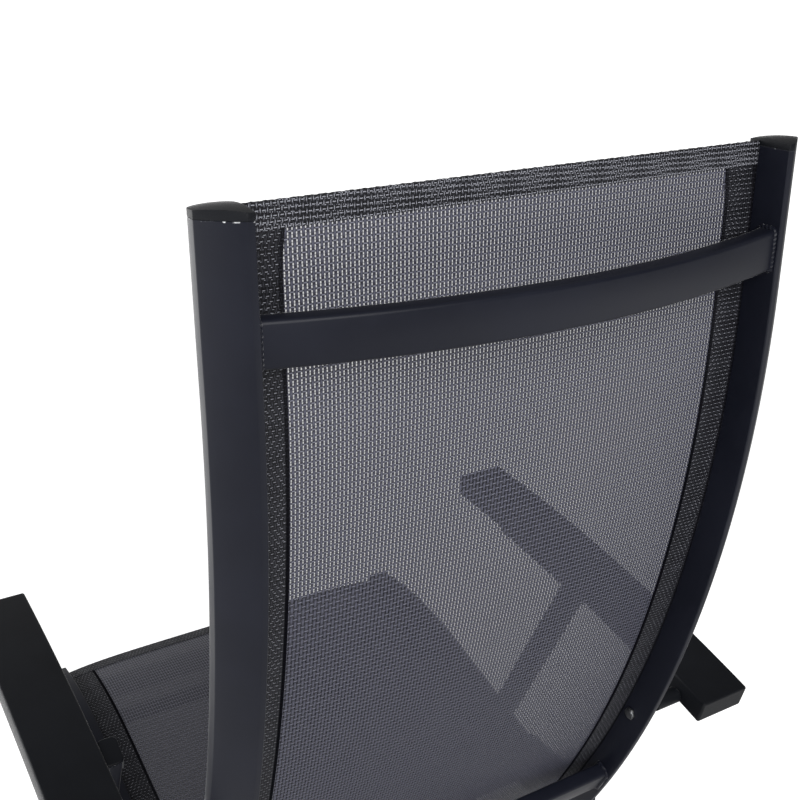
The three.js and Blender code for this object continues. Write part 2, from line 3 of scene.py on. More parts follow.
import bpy
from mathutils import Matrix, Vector


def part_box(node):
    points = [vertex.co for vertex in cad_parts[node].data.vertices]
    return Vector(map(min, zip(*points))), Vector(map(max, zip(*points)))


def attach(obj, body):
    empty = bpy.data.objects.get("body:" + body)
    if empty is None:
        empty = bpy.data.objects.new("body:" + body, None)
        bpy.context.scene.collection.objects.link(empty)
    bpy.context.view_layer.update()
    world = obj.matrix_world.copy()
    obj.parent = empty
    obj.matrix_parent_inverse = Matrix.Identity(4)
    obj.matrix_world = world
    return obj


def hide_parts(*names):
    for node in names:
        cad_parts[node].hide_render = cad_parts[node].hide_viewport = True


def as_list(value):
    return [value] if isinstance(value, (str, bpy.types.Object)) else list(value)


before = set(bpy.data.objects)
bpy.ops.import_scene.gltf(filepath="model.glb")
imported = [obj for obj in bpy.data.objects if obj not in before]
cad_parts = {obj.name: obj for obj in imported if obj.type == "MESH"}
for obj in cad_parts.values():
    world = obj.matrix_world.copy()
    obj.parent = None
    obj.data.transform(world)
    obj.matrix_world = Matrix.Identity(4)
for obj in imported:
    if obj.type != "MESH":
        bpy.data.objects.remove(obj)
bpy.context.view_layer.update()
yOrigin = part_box("back_rail_left")[1].y  # rear face of the upright back rails
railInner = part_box("back_rail_left")[0].x
sides = (("left", 1), ("right", -1))
print("frame loaded:", len(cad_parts), "nodes")


# Places along the two rail curves, in metres

backCurve = dict(
    top=1.109, straight=0.109, lean=radians(31.7), hingeHeight=0.364, depth=0.039, pastHinge=0.024)
backCurve["drop"] = backCurve["top"] - backCurve["straight"] - backCurve["hingeHeight"]
backCurve["radius"] = backCurve["depth"] / 2 + backCurve["drop"] / sin(backCurve["lean"])
backCurve["hinge"] = backCurve["straight"] + backCurve["radius"] * backCurve["lean"]
backCurve["length"] = backCurve["hinge"] + backCurve["pastHinge"]


def fromSide(forward, height, across=0.0):  # forward of the rear face of the upright rails
    return Vector((across, yOrigin - forward, height))


def backPlace(distance, ahead, across=0.0):  # down the back rail from its top, ahead of its rear face
    curve = backCurve
    if distance <= curve["straight"]:
        return fromSide(ahead, curve["top"] - distance, across)
    angle = (distance - curve["straight"]) / curve["radius"]
    reach = curve["radius"] - ahead
    height = curve["top"] - curve["straight"] - reach * sin(angle)
    return fromSide(curve["radius"] - reach * cos(angle), height, across)


hinge = backPlace(backCurve["hinge"], backCurve["depth"] / 2)
seatCurve = dict(
    reach=0.433, crown=0.438, length=0.393, radius=0.4, round=0.17, slope=radians(14.5), depth=0.039)
seatCurve["low"] = seatCurve["radius"] - seatCurve["depth"]
seatCurve["straight"] = seatCurve["length"] - seatCurve["round"]
seatCurve["rail"] = seatCurve["straight"] + seatCurve["round"] * seatCurve["low"] / seatCurve["radius"]
seatCurve["ahead"] = seatCurve["reach"] - seatCurve["round"] + seatCurve["radius"] * sin(seatCurve["slope"])
seatCentre = (yOrigin - hinge.y + seatCurve["ahead"], seatCurve["crown"] - seatCurve["radius"])


def seatPlace(distance, rise, across=0.0):  # along the rail's lower line from its rear end, and above it
    curve = seatCurve
    heading = curve["slope"] - max(0.0, distance - curve["straight"]) / curve["low"]
    back = min(0.0, distance - curve["straight"])
    reach = curve["low"] + rise
    forward = seatCentre[0] - reach * sin(heading) + back * cos(heading)
    height = seatCentre[1] + reach * cos(heading) + back * sin(heading)
    return fromSide(forward, height, across)


def centreOf(node):
    low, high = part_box(node)
    return Vector((0, (low.y + high.y) / 2, (low.z + high.z) / 2))


# Modelling helpers

seedSize = 0.001  # of the plane that becomes a line's first point
sameSpot = 0.00001  # points closer than this are one


def deselectAll():
    if bpy.context.object and bpy.context.object.mode != "OBJECT":
        bpy.ops.object.mode_set(mode="OBJECT")
    for thing in bpy.context.selected_objects:
        thing.select_set(False)


def pick(piece, *others):
    deselectAll()
    for each in (piece, *others):
        each.select_set(True)
    bpy.context.view_layer.objects.active = piece


def editAll(piece):  # edit mode with everything selected
    pick(piece)
    bpy.ops.object.mode_set(mode="EDIT")
    bpy.ops.mesh.select_all(action="SELECT")


def objectMode():
    bpy.ops.object.mode_set(mode="OBJECT")


def smoothBelow(piece, angle):
    pick(piece)
    bpy.ops.object.shade_smooth_by_angle(angle=radians(angle))


def settle(piece):  # leaves the place in the mesh
    pick(piece)
    bpy.ops.object.transform_apply(location=True, rotation=True, scale=True)


def nameIt(name):
    piece = bpy.context.object
    piece.name = piece.data.name = name
    return piece


# Draws a line point after point, and leaves it selected in edit mode
def drawLine(name, places):
    deselectAll()
    bpy.ops.mesh.primitive_plane_add(size=seedSize, location=places[0])
    piece = nameIt(name)
    bpy.ops.object.transform_apply(location=True)
    bpy.ops.object.mode_set(mode="EDIT")
    bpy.ops.mesh.select_mode(type="VERT")
    bpy.ops.mesh.merge(type="CENTER")
    for here, there in zip(places, places[1:]):
        extrudeBy(there - here)
    bpy.ops.mesh.select_all(action="SELECT")
    return piece


def drawOutline(name, places):  # a closed, filled outline
    piece = drawLine(name, places)
    bpy.ops.mesh.edge_face_add()
    return piece


def extrudeBy(step):
    bpy.ops.mesh.extrude_region_move(TRANSFORM_OT_translate={"value": step})


def spinBy(angle, centre, axis, steps):
    bpy.ops.mesh.spin(steps=steps, angle=angle, center=centre, axis=axis)


# Merges doubles, turns the faces outwards and smooths the round ones
def closeUp(piece, smooth=30):
    editAll(piece)
    bpy.ops.mesh.remove_doubles(threshold=sameSpot)
    bpy.ops.mesh.normals_make_consistent(inside=False)
    smoothBelow(piece, smooth)


def applyAll(piece):
    pick(piece)
    for modifier in list(piece.modifiers):
        bpy.ops.object.modifier_apply(modifier=modifier.name)


def bevelPiece(piece, width, segments=2, angle=30):
    bevel = piece.modifiers.new("softEdges", "BEVEL")
    bevel.width = width
    bevel.segments = segments
    bevel.limit_method = "ANGLE"
    bevel.angle_limit = radians(angle)
    applyAll(piece)
    smoothBelow(piece, angle)


def cutWith(piece, cutter, operation="DIFFERENCE"):
    cut = piece.modifiers.new("cut", "BOOLEAN")
    cut.operation = operation
    cut.solver = "EXACT"
    cut.object = cutter
    applyAll(piece)
    bpy.data.objects.remove(cutter)


def joinPieces(piece, *others):
    pick(piece, *others)
    bpy.ops.object.join()
    return piece


def mirrorCopy(piece, name):
    twin = piece.copy()
    twin.data = piece.data.copy()
    twin.name = twin.data.name = name
    bpy.context.collection.objects.link(twin)
    twin.scale.x = -1
    settle(twin)
    editAll(twin)
    bpy.ops.mesh.normals_make_consistent(inside=False)
    objectMode()
    return twin


def finishPiece(piece, body, finish, *stoodFor):  # a finish is a material and its slot
    material, slot = finish
    piece.data.materials.clear()
    piece.data.materials.append(material)
    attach(piece, body)
    if stoodFor:
        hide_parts(*stoodFor)


# Finishes the left piece and its mirror image; {} in a name stands for the side
def finishPair(piece, body, finish, node):
    twin = mirrorCopy(piece, piece.name.replace("_left", "_right"))
    for each, side in ((piece, "left"), (twin, "right")):
        finishPiece(each, body.format(side), finish, node.format(side))


# Outlines

def bend(start, control, end, steps):  # points of a soft corner
    points = []
    for i in range(steps + 1):
        t = i / steps
        points.append(Vector(start) * (1 - t) ** 2 + Vector(control) * 2 * t * (1 - t) + Vector(end) * t * t)
    return points


def arc(centre, radius, start, end, steps):
    points = []
    for i in range(steps + 1):
        angle = radians(start + (end - start) * i / steps)
        points.append(Vector(centre) + radius * Vector((cos(angle), sin(angle))))
    return points


def roundedRect(width, height, edge, steps=4):
    points = []
    for turn, (sx, sy) in enumerate(((1, 1), (-1, 1), (-1, -1), (1, -1))):
        middle = (sx * (width / 2 - edge), sy * (height / 2 - edge))
        points += arc(middle, edge, 90 * turn, 90 * turn + 90, steps)
    return points


# Round pieces whose axis runs across the chair

def addRod(name, centre, radius, low, high, corners=48):
    deselectAll()
    place = ((low + high) / 2, centre.y, centre.z)
    bpy.ops.mesh.primitive_cylinder_add(vertices=corners, radius=radius, depth=high - low, location=place,
                                        rotation=(0, pi / 2, 0))
    piece = nameIt(name)
    settle(piece)
    smoothBelow(piece, 30)
    return piece


def turnProfile(name, centre, profile, steps=36):  # profile points are (across, radius)
    piece = drawLine(name, [Vector((x, centre.y, centre.z + radius)) for x, radius in profile])
    spinBy(2 * pi, (0, centre.y, centre.z), (1, 0, 0), steps)
    closeUp(piece)
    return piece


# Material helpers

def fillInputs(node, inputs):  # links the sockets among the values, and sets the others
    for key, value in inputs.items():
        if isinstance(value, bpy.types.NodeSocket):
            node.id_data.links.new(value, node.inputs[key])
        else:
            node.inputs[key].default_value = value


def addNode(tree, kind, inputs=None, **settings):
    node = tree.nodes.new(kind)
    for key, value in settings.items():
        setattr(node, key, value)
    fillInputs(node, inputs or {})
    return node


def newMaterial(name):
    material = bpy.data.materials.new(name)
    material.use_nodes = True
    return material, material.node_tree, material.node_tree.nodes["Principled BSDF"]


def treeOf(values):  # the node tree that the sockets among the values belong to
    return next(value for value in values if isinstance(value, bpy.types.NodeSocket)).id_data


def calc(operation, *values, clamp=False):
    inputs = dict(enumerate(values))
    return addNode(treeOf(values), "ShaderNodeMath", inputs, operation=operation, use_clamp=clamp).outputs[0]


def times(first, second):
    return calc("MULTIPLY", first, second)


def plus(first, second):
    return calc("ADD", first, second)


def minus(first, second):
    return calc("SUBTRACT", first, second)


def rest(share):  # what is left of one
    return minus(1.0, share)


def most(first, second):
    return calc("MAXIMUM", first, second)


def span(share, start, change):  # from start, by change where the share is one
    return calc("MULTIPLY_ADD", share, change, start)


def vectorCalc(operation, *values):
    node = addNode(treeOf(values), "ShaderNodeVectorMath", dict(enumerate(values)), operation=operation)
    return node.outputs["Value" if operation in ("DOT_PRODUCT", "DISTANCE", "LENGTH") else "Vector"]


def ramp(value, low, high, start=0.0, end=1.0):  # smooth step
    inputs = {"Value": value, "From Min": low, "From Max": high, "To Min": start, "To Max": end}
    node = addNode(value.id_data, "ShaderNodeMapRange", inputs, interpolation_type="SMOOTHSTEP")
    return node.outputs["Result"]


def blend(factor, first, second):
    return addNode(factor.id_data, "ShaderNodeMix", {0: factor, 2: first, 3: second}).outputs[0]


def blendColour(factor, first, second):
    inputs = {0: factor, 6: first, 7: second}
    return addNode(factor.id_data, "ShaderNodeMix", inputs, data_type="RGBA").outputs[2]


def noise(place, scale, **more):
    return addNode(place.id_data, "ShaderNodeTexNoise", {"Vector": place, "Scale": scale, **more}).outputs


def axisOf(place, axis):
    return addNode(place.id_data, "ShaderNodeSeparateXYZ", {0: place}).outputs[axis]


def newGroup(name, inputs, outputs):
    group = bpy.data.node_groups.new(name, "ShaderNodeTree")
    for label, value in inputs.items():
        kind = "NodeSocketVector" if value is None else "NodeSocketFloat"
        socket = group.interface.new_socket(label, in_out="INPUT", socket_type=kind)
        if value is not None:
            socket.default_value = value
    for label in outputs:
        group.interface.new_socket(label, in_out="OUTPUT", socket_type="NodeSocketFloat")
    return group, group.nodes.new("NodeGroupInput").outputs, group.nodes.new("NodeGroupOutput")


def useGroup(tree, group, **values):
    return addNode(tree, "ShaderNodeGroup", values, node_tree=group).outputs


def objectPlace(tree):
    return addNode(tree, "ShaderNodeTexCoord").outputs["Object"]


def uvPlace(tree, layer):
    return addNode(tree, "ShaderNodeUVMap", uv_map=layer).outputs["UV"]


def addBump(shader, height, look):
    inputs = {"Height": height, "Distance": look["relief"], "Strength": look["bump"]}
    bump = addNode(shader.id_data, "ShaderNodeBump", inputs)
    fillInputs(shader, {"Normal": bump.outputs["Normal"]})


# Surface grain: fine relief, broad uneven patches and specks

grainLook = dict(
    Fine=900.0, Broad=14.0, fineDetail=3.0, broadDetail=5.0, broadRough=0.6, speckShare=0.35,
    speckNear=0.03, speckFar=0.09, patchLow=0.35, patchHigh=0.65)


def makeGrain():
    look = grainLook
    tree, given, out = newGroup("surfaceGrain", {"Place": None, "Fine": look["Fine"], "Broad": look["Broad"]},
                                ("Relief", "Patches", "Specks"))
    place = given["Place"]
    fine = noise(place, given["Fine"], Detail=look["fineDetail"])
    broad = noise(place, given["Broad"], Detail=look["broadDetail"], Roughness=look["broadRough"])
    speckScale = times(given["Fine"], look["speckShare"])
    dots = addNode(tree, "ShaderNodeTexVoronoi", {"Vector": place, "Scale": speckScale}).outputs["Distance"]
    fillInputs(out, {"Relief": fine["Fac"],
                     "Patches": ramp(broad["Fac"], look["patchLow"], look["patchHigh"]),
                     "Specks": ramp(dots, look["speckFar"], look["speckNear"])})
    return tree


# Worn edges: where the rounded normal leaves the flat one

wearLook = dict(
    Width=0.0012, Amount=0.5, flat=0.995, sharp=0.86, patch=60.0, patchDetail=4.0, patchLow=0.45,
    patchHigh=0.7)


def makeEdgeWear():
    look = wearLook
    tree, given, out = newGroup("edgeWear", {"Place": None, "Width": look["Width"], "Amount": look["Amount"]},
                                ("Worn",))
    flat = addNode(tree, "ShaderNodeNewGeometry").outputs["Normal"]
    rounded = addNode(tree, "ShaderNodeBevel", {"Radius": given["Width"]}, samples=4).outputs["Normal"]
    edge = ramp(vectorCalc("DOT_PRODUCT", rounded, flat), look["flat"], look["sharp"])
    patchy = noise(given["Place"], look["patch"], Detail=look["patchDetail"])["Fac"]
    broken = ramp(patchy, look["patchLow"], look["patchHigh"])
    fillInputs(out, {"Worn": times(times(edge, broken), given["Amount"])})
    return tree


# Open weave: flat ribbons run along the cloth and go over and under the wefts by turns
# Widths are shares of half a cell, heights are shares of the cloth's relief

weaveSize = dict(Column=0.003, Row=0.0047, Ribbon=0.62, Weft=0.255, Thin=0.09, Wobble=0.0006)
weaveLook = dict(
    waver=140.0, waverDetail=2.0, soft=0.05, thinSoft=0.04, thinCover=0.55, ribbonLevel=0.56,
    ribbonWave=0.42, weftLevel=0.5, weftWave=-0.36, thinLevel=0.3, fibre=(2600.0, 500.0, 1.0),
    fibreDetail=2.0, fibreTone=0.3, base=-0.1, gain=0.75, crestHighlight=0.55, crestFar=0.2, crestNear=0.06,
    crestLow=0.1, crestHigh=-0.5, diveShade=0.9, diveFar=0.5, diveNear=0.3, diveLow=-0.3, diveHigh=-0.72,
    grooveShade=-0.4, grooveFar=0.14, grooveNear=0.02)


def makeWeave():
    look = weaveLook
    inputs = {"Cloth": None, **weaveSize}
    tree, given, out = newGroup("openWeave", inputs, ("Hole", "Height", "ShadedTone", "Fibre"))
    waver = noise(given["Cloth"], look["waver"], Detail=look["waverDetail"])["Color"]
    shift = vectorCalc("SUBTRACT", waver, (0.5, 0.5, 0.5))
    place = vectorCalc("MULTIPLY_ADD", shift, given["Wobble"], given["Cloth"])
    across = calc("DIVIDE", axisOf(place, "X"), given["Column"])
    along = calc("DIVIDE", axisOf(place, "Y"), given["Row"])

    def fromMiddle(value):  # 0 in the middle of a cell, 1 at its border
        centred = minus(calc("FRACT", value), 0.5)
        return times(calc("ABSOLUTE", centred), 2.0)

    def wave(value, other):  # 1 and -1 by turns from crossing to crossing
        turns = plus(minus(value, 0.5), calc("FLOOR", other))
        return calc("COSINE", times(turns, pi))

    def domed(value, width):  # round across a thread
        share = calc("DIVIDE", value, width)
        return calc("SQRT", calc("SUBTRACT", 1.0, times(share, share), clamp=True))

    def within(value, width, soft):
        return ramp(minus(width, value), -soft, soft)

    column, row = fromMiddle(across), fromMiddle(along)
    fromThin = rest(row)
    ribbonWave, weftWave = wave(along, across), wave(across, along)
    onRibbon = within(column, given["Ribbon"], look["soft"])
    onWeft = within(row, given["Weft"], look["soft"])
    onThin = times(within(fromThin, given["Thin"], look["thinSoft"]), look["thinCover"])
    hole = rest(most(most(onRibbon, onWeft), onThin))

    ribbonRise = span(ribbonWave, look["ribbonLevel"], look["ribbonWave"])
    weftRise = span(weftWave, look["weftLevel"], look["weftWave"])
    height = most(times(domed(column, given["Ribbon"]), ribbonRise),
                  times(domed(row, given["Weft"]), weftRise))
    height = most(height, times(domed(fromThin, given["Thin"]), look["thinLevel"]))

    streak = addNode(tree, "ShaderNodeMapping", {"Vector": given["Cloth"], "Scale": look["fibre"]}).outputs[0]
    fibre = noise(streak, 1.0, Detail=look["fibreDetail"])["Fac"]
    # painted highlight where a weft lies on top, painted shade where a ribbon dives under it
    crestHighlight = times(ramp(row, look["crestFar"], look["crestNear"]),
                  ramp(weftWave, look["crestLow"], look["crestHigh"]))
    diveShade = times(ramp(ribbonWave, look["diveLow"], look["diveHigh"]),
                 ramp(column, look["diveFar"], look["diveNear"]))
    # painted shade along a fine groove between the two strands of a ribbon
    grooveShade = ramp(column, look["grooveFar"], look["grooveNear"])
    offWeft = rest(onWeft)
    # painted light and shade: lighter the higher a thread lies, plus painted highlight, painted shade and
    # random fibre streaks
    shadedTone = plus(span(height, look["base"], look["gain"]), times(crestHighlight, look["crestHighlight"]))
    shadedTone = plus(shadedTone, span(fibre, -look["fibreTone"] / 2, look["fibreTone"]))
    shadedTone = times(shadedTone, rest(times(times(diveShade, offWeft), look["diveShade"])))
    grooveShading = span(times(grooveShade, offWeft), 1.0, look["grooveShade"])
    shadedTone = calc("MULTIPLY", shadedTone, grooveShading, clamp=True)
    fillInputs(out, {"Hole": hole, "Height": height, "ShadedTone": shadedTone, "Fibre": fibre})
    return tree


grainGroup = makeGrain()
edgeGroup = makeEdgeWear()
weaveGroup = makeWeave()


def grainedMaterial(name, look):
    material, tree, shader = newMaterial(name)
    grain = useGroup(tree, grainGroup, Place=objectPlace(tree), Fine=look["fine"], Broad=look["broad"])
    return material, shader, grain, blendColour(grain["Patches"], look["dark"], look["light"])


def wearOf(shader, look):
    place = objectPlace(shader.id_data)
    return useGroup(shader.id_data, edgeGroup, Place=place, Width=look["edge"], Amount=look["wear"])["Worn"]


def glossInputs(look):
    return {"Specular IOR Level": look["specular"], "Sheen Weight": look["sheen"],
            "Sheen Roughness": look["sheenRough"]}


# Finishes: each is a material and the slot that it goes into

coatLook = dict(
    dark=(0.0064, 0.0073, 0.0128, 1), light=(0.0086, 0.0097, 0.0166, 1), speck=(0.05, 0.052, 0.06, 1),
    worn=(0.08, 0.083, 0.092, 1), bare=(0.7, 0.71, 0.73, 1), fine=1400.0, broad=9.0, edge=0.0011, wear=0.55,
    specks=0.35, rim=0.0009, rimPatch=260.0, rimDetail=1.0, rimLow=0.61, rimHigh=0.7, rough=0.36,
    patchRough=0.06, wornRough=-0.1, specular=0.17, sheen=0.25, sheenRough=0.15, relief=0.00006, bump=0.5,
    weldRipple=14.0, weldScale=180.0, weldDistortion=1.5)


def powderCoat(name, ripple=0.0):
    look = coatLook
    material, shader, grain, colour = grainedMaterial(name, look)
    worn = wearOf(shader, look)
    place = objectPlace(shader.id_data)
    colour = blendColour(times(grain["Specks"], look["specks"]), colour, look["speck"])
    colour = blendColour(worn, colour, look["worn"])
    # bare metal glints where the coat is thin on the sawn rim of the back rails
    top = backCurve["top"]
    rim = ramp(axisOf(place, "Z"), top - look["rim"], top - look["rim"] / 2)
    patchy = noise(place, look["rimPatch"], Detail=look["rimDetail"])["Fac"]
    bare = times(rim, ramp(patchy, look["rimLow"], look["rimHigh"]))
    rough = span(grain["Patches"], look["rough"], look["patchRough"])
    fillInputs(shader, {"Base Color": blendColour(bare, colour, look["bare"]), "Metallic": bare,
                        "Roughness": span(worn, rough, look["wornRough"]), **glossInputs(look)})
    relief = grain["Relief"]
    if ripple:
        inputs = {"Vector": place, "Scale": look["weldScale"], "Distortion": look["weldDistortion"]}
        beads = addNode(shader.id_data, "ShaderNodeTexWave", inputs, bands_direction="DIAGONAL")
        relief = span(beads.outputs["Fac"], relief, ripple)
    addBump(shader, relief, look)
    return material, "frame"


plasticLook = dict(
    dark=(0.0042, 0.0048, 0.0066, 1), light=(0.006, 0.0068, 0.009, 1), worn=(0.04, 0.042, 0.047, 1),
    fine=2200.0, broad=12.0, edge=0.0009, wear=0.4, rough=0.4, grainRough=0.12, specular=0.14, sheen=0.34,
    sheenRough=0.15, relief=0.00012, bump=0.6)


def mouldedPlastic():
    look = plasticLook
    material, shader, grain, colour = grainedMaterial("mouldedPlastic", look)
    fillInputs(shader, {"Base Color": blendColour(wearOf(shader, look), colour, look["worn"]),
                        "Roughness": span(grain["Relief"], look["rough"], look["grainRough"]),
                        **glossInputs(look)})
    addBump(shader, grain["Relief"], look)
    return material, "plastic"


zincLook = dict(
    dark=(0.16, 0.165, 0.175, 1), light=(0.27, 0.275, 0.28, 1), fine=800.0, broad=120.0, rough=0.3,
    patchRough=0.15, relief=0.00004, bump=0.5)


def dullZinc():
    look = zincLook
    material, shader, grain, colour = grainedMaterial("dullZinc", look)
    fillInputs(shader, {"Base Color": colour, "Metallic": 1.0,
                        "Roughness": span(grain["Patches"], look["rough"], look["patchRough"])})
    addBump(shader, grain["Relief"], look)
    return material, "hardware"


# Thread colours from painted shade to painted highlight, and the tones at which middle and crest are reached
meshThreads = dict(
    deepShade=(0.026, 0.026, 0.037, 1), middle=(0.072, 0.074, 0.104, 1), crestHighlight=(0.195, 0.198, 0.245, 1),
    turn=0.5, full=1.0)
# the seat's threads are lighter than the back's: painted light on the same cloth
seatThreadsLit = dict(
    deepShade=(0.048, 0.048, 0.06, 1), middle=(0.112, 0.114, 0.142, 1), crestHighlight=(0.215, 0.218, 0.25, 1), turn=0.5,
    full=1.0)
hemThreads = dict(
    deepShade=(0.003, 0.003, 0.0045, 1), middle=(0.0235, 0.0242, 0.031, 1), crestHighlight=(0.27, 0.275, 0.31, 1),
    turn=0.38, full=0.85)
clothLook = dict(
    rough=0.42, hemRough=0.5, fibreRough=0.2, specular=0.3, hemSpecular=0.2, relief=0.0004, bump=0.8,
    backOpen=0.7, seatOpen=0.24)


def threadTint(shadedTone, threads):
    lower = blendColour(ramp(shadedTone, 0.0, threads["turn"]), threads["deepShade"], threads["middle"])
    return blendColour(ramp(shadedTone, threads["turn"], threads["full"]), lower, threads["crestHighlight"])


def meshSling(name, threads, openness):
    look = clothLook
    material, tree, shader = newMaterial(name)
    weave = useGroup(tree, weaveGroup, Cloth=uvPlace(tree, "cloth"))
    fillInputs(shader, {"Base Color": threadTint(weave["ShadedTone"], threads),
                        "Alpha": span(weave["Hole"], 1.0, -openness),
                        "Roughness": span(weave["Fibre"], look["rough"], look["fibreRough"]),
                        "Specular IOR Level": look["specular"]})
    addBump(shader, weave["Height"], look)
    return material, "sling"


# A hem is two layers of the weave: the lower one shows through the gaps of the upper one
hemSize = dict(Column=0.0023, Row=0.0037, Ribbon=0.42, Weft=0.3)
hemLook = dict(
    shift=(0.0013, 0.0021, 0), turn=(0, 0, 0.1), under=0.95, seamGrooveAndShade=0.0036, seamFull=0.6, seamFrom=0.02,
    seamTo=0.3, seamStart=0.5, railSide=0.0285, shadow=0.0032, shadowFull=0.0006, shadowDepth=0.7)


# light scales the hem's brightness: painted light, so one hem comes as lit and shaded copies
def foldedHem(name, shadeAndGrooveDepth, light):
    look = hemLook
    material, tree, shader = newMaterial(name)
    cloth = uvPlace(tree, "cloth")
    inputs = {"Vector": cloth, "Location": look["shift"], "Rotation": look["turn"]}
    lower = addNode(tree, "ShaderNodeMapping", inputs).outputs[0]
    first = useGroup(tree, weaveGroup, Cloth=cloth, **hemSize)
    second = useGroup(tree, weaveGroup, Cloth=lower, **hemSize)
    # painted shade between the layers: the lower layer is darkened and black in its own gaps
    under = times(times(second["ShadedTone"], look["under"]), rest(second["Hole"]))
    shadedTone = blend(first["Hole"], first["ShadedTone"], under)
    height = blend(first["Hole"], first["Height"], 0.0)
    # a stitched seam groove with painted shade along it, deeper down the cloth, and painted shade where the
    # hem goes into the rail
    edge = uvPlace(tree, "hem")
    fromEdge, along = axisOf(edge, "X"), axisOf(edge, "Y")
    depth = ramp(along, look["seamFrom"], look["seamTo"], look["seamStart"] * shadeAndGrooveDepth, shadeAndGrooveDepth)
    seamGrooveAndShade = times(ramp(fromEdge, look["seamGrooveAndShade"], look["seamGrooveAndShade"] * look["seamFull"]), depth)
    shadow = ramp(fromEdge, look["railSide"] - look["shadow"], look["railSide"] - look["shadowFull"])
    clear = rest(most(seamGrooveAndShade, times(shadow, look["shadowDepth"] * shadeAndGrooveDepth)))
    # this copy's painted light, times the painted shade of seam and rail
    shadedTone = times(times(shadedTone, light), clear)
    rough = span(first["Fibre"], clothLook["hemRough"], clothLook["fibreRough"])
    # the painted shade also takes the gloss away
    fillInputs(shader, {"Base Color": threadTint(shadedTone, hemThreads), "Roughness": rough,
                        "Specular IOR Level": times(clear, clothLook["hemSpecular"])})
    addBump(shader, minus(height, seamGrooveAndShade), clothLook)
    return material, "sling"


coat = powderCoat("powderCoat")
weldCoat = powderCoat("weldCoat", coatLook["weldRipple"])
plastic = mouldedPlastic()
zinc = dullZinc()
backCloth = meshSling("backMesh", meshThreads, clothLook["backOpen"])
seatCloth = meshSling("seatMesh", seatThreadsLit, clothLook["seatOpen"])
# lit and shaded copies of one hem: side hems painted darker, the back's end hems painted lighter
sideHemCloth = foldedHem("sideHem", shadeAndGrooveDepth=0.95, light=0.76)
endHemCloth = foldedHem("endHem", shadeAndGrooveDepth=0.0, light=1.4)
seatEndHemCloth = foldedHem("seatEndHem", shadeAndGrooveDepth=0.0, light=0.8)
print("materials made")


# Rails: one outline for the back and the seat, and the slings' cords in their channels

railShape = dict(
    width=0.029, land=0.005, shoulder=0.0205, side=0.0055, depth=0.039, edge=0.0012, soft=0.0008,
    bulge=0.0016, slotFromRear=0.0305, slotWidth=0.0032, channelInset=0.0065, channelRadius=0.0042,
    cordRadius=0.0026, cordCorners=24, slingEnd=0.012, backSteps=44, seatSteps=20)
gap = 0.0003  # between touching pieces


def railOutline(withSlot=True):  # (outboard, ahead) points, starting at the slot's rear lip
    s = railShape
    width, land, shoulder, depth = s["width"], s["land"], s["shoulder"], s["depth"]
    edge, soft = s["edge"], s["soft"]
    slant = (Vector((width, shoulder)) - Vector((land, 0))).normalized() * soft
    crown = ((land + width) / 2 + s["bulge"], shoulder / 2 - s["bulge"])
    front = depth - shoulder - s["side"]
    half = s["slotWidth"] / 2
    points = [Vector((0, s["slotFromRear"] - half))] if withSlot else []
    points += bend((0, edge), (0, 0), (edge, 0), 4)
    points += bend((land - soft, 0), (land, 0), Vector((land, 0)) + slant, 3)
    points += bend((land, 0), crown, (width, shoulder), 12)[1:-1]
    points += bend(Vector((width, shoulder)) - slant, (width, shoulder), (width, shoulder + soft), 3)
    points += bend((width, shoulder + s["side"]), (width, depth), (width - front, depth), 8)
    points += bend((edge, depth), (0, depth), (0, depth - edge), 4)
    if withSlot:
        points.append(Vector((0, s["slotFromRear"] + half)))
        spread = 180 - asin(half / s["channelRadius"]) * 180 / pi
        points += arc((s["channelInset"], s["slotFromRear"]), s["channelRadius"], spread, -spread, 12)
    return points


def alongBack(name, outline, start, end):
    piece = drawOutline(name, [backPlace(start, ahead, railInner + out) for out, ahead in outline])
    extrudeBy((0, 0, start - backCurve["straight"]))
    angle = (end - backCurve["straight"]) / backCurve["radius"]
    spinBy(angle, backPlace(backCurve["straight"], backCurve["radius"]), (1, 0, 0), railShape["backSteps"])
    closeUp(piece)
    return piece


def alongSeat(name, outline, start, end):
    piece = drawOutline(name, [seatPlace(start, rise, railInner + out) for out, rise in outline])
    extrudeBy(seatPlace(seatCurve["straight"], 0) - seatPlace(start, 0))
    angle = (end - seatCurve["straight"]) / seatCurve["low"]
    spinBy(angle, fromSide(*seatCentre), (-1, 0, 0), railShape["seatSteps"])
    closeUp(piece)
    return piece


def makeRails():
    s = railShape
    rail = alongBack("backRail_left", railOutline(), 0, backCurve["length"])
    finishPair(rail, "back", coat, "back_rail_{}")
    rail = alongSeat("seatRail_left", railOutline(), 0, seatCurve["rail"])
    finishPair(rail, "seat", coat, "seat_rail_{}")
    turn = 360 / s["cordCorners"]
    ring = arc((s["channelInset"], s["slotFromRear"]), s["cordRadius"], 0, 360 - turn, s["cordCorners"] - 1)
    cord = alongBack("backCord_left", ring, gap, backCurve["length"] - s["slingEnd"])
    finishPair(cord, "back", plastic, "back_cord_{}")
    cord = alongSeat("seatCord_left", ring, s["slingEnd"], seatCurve["rail"] - gap)
    finishPair(cord, "seat", plastic, "seat_cord_{}")


makeRails()
print("rails and cords made")


# Caps on the rails' ends: domed on top of the back, flat elsewhere

capShape = dict(
    blank=0.012, top=0.0069, domeRadius=0.098, domeSegments=256, domeRings=192, outShare=0.4,
    aheadShare=0.44, soft=0.0004, flat=0.003, flatSoft=0.0009)


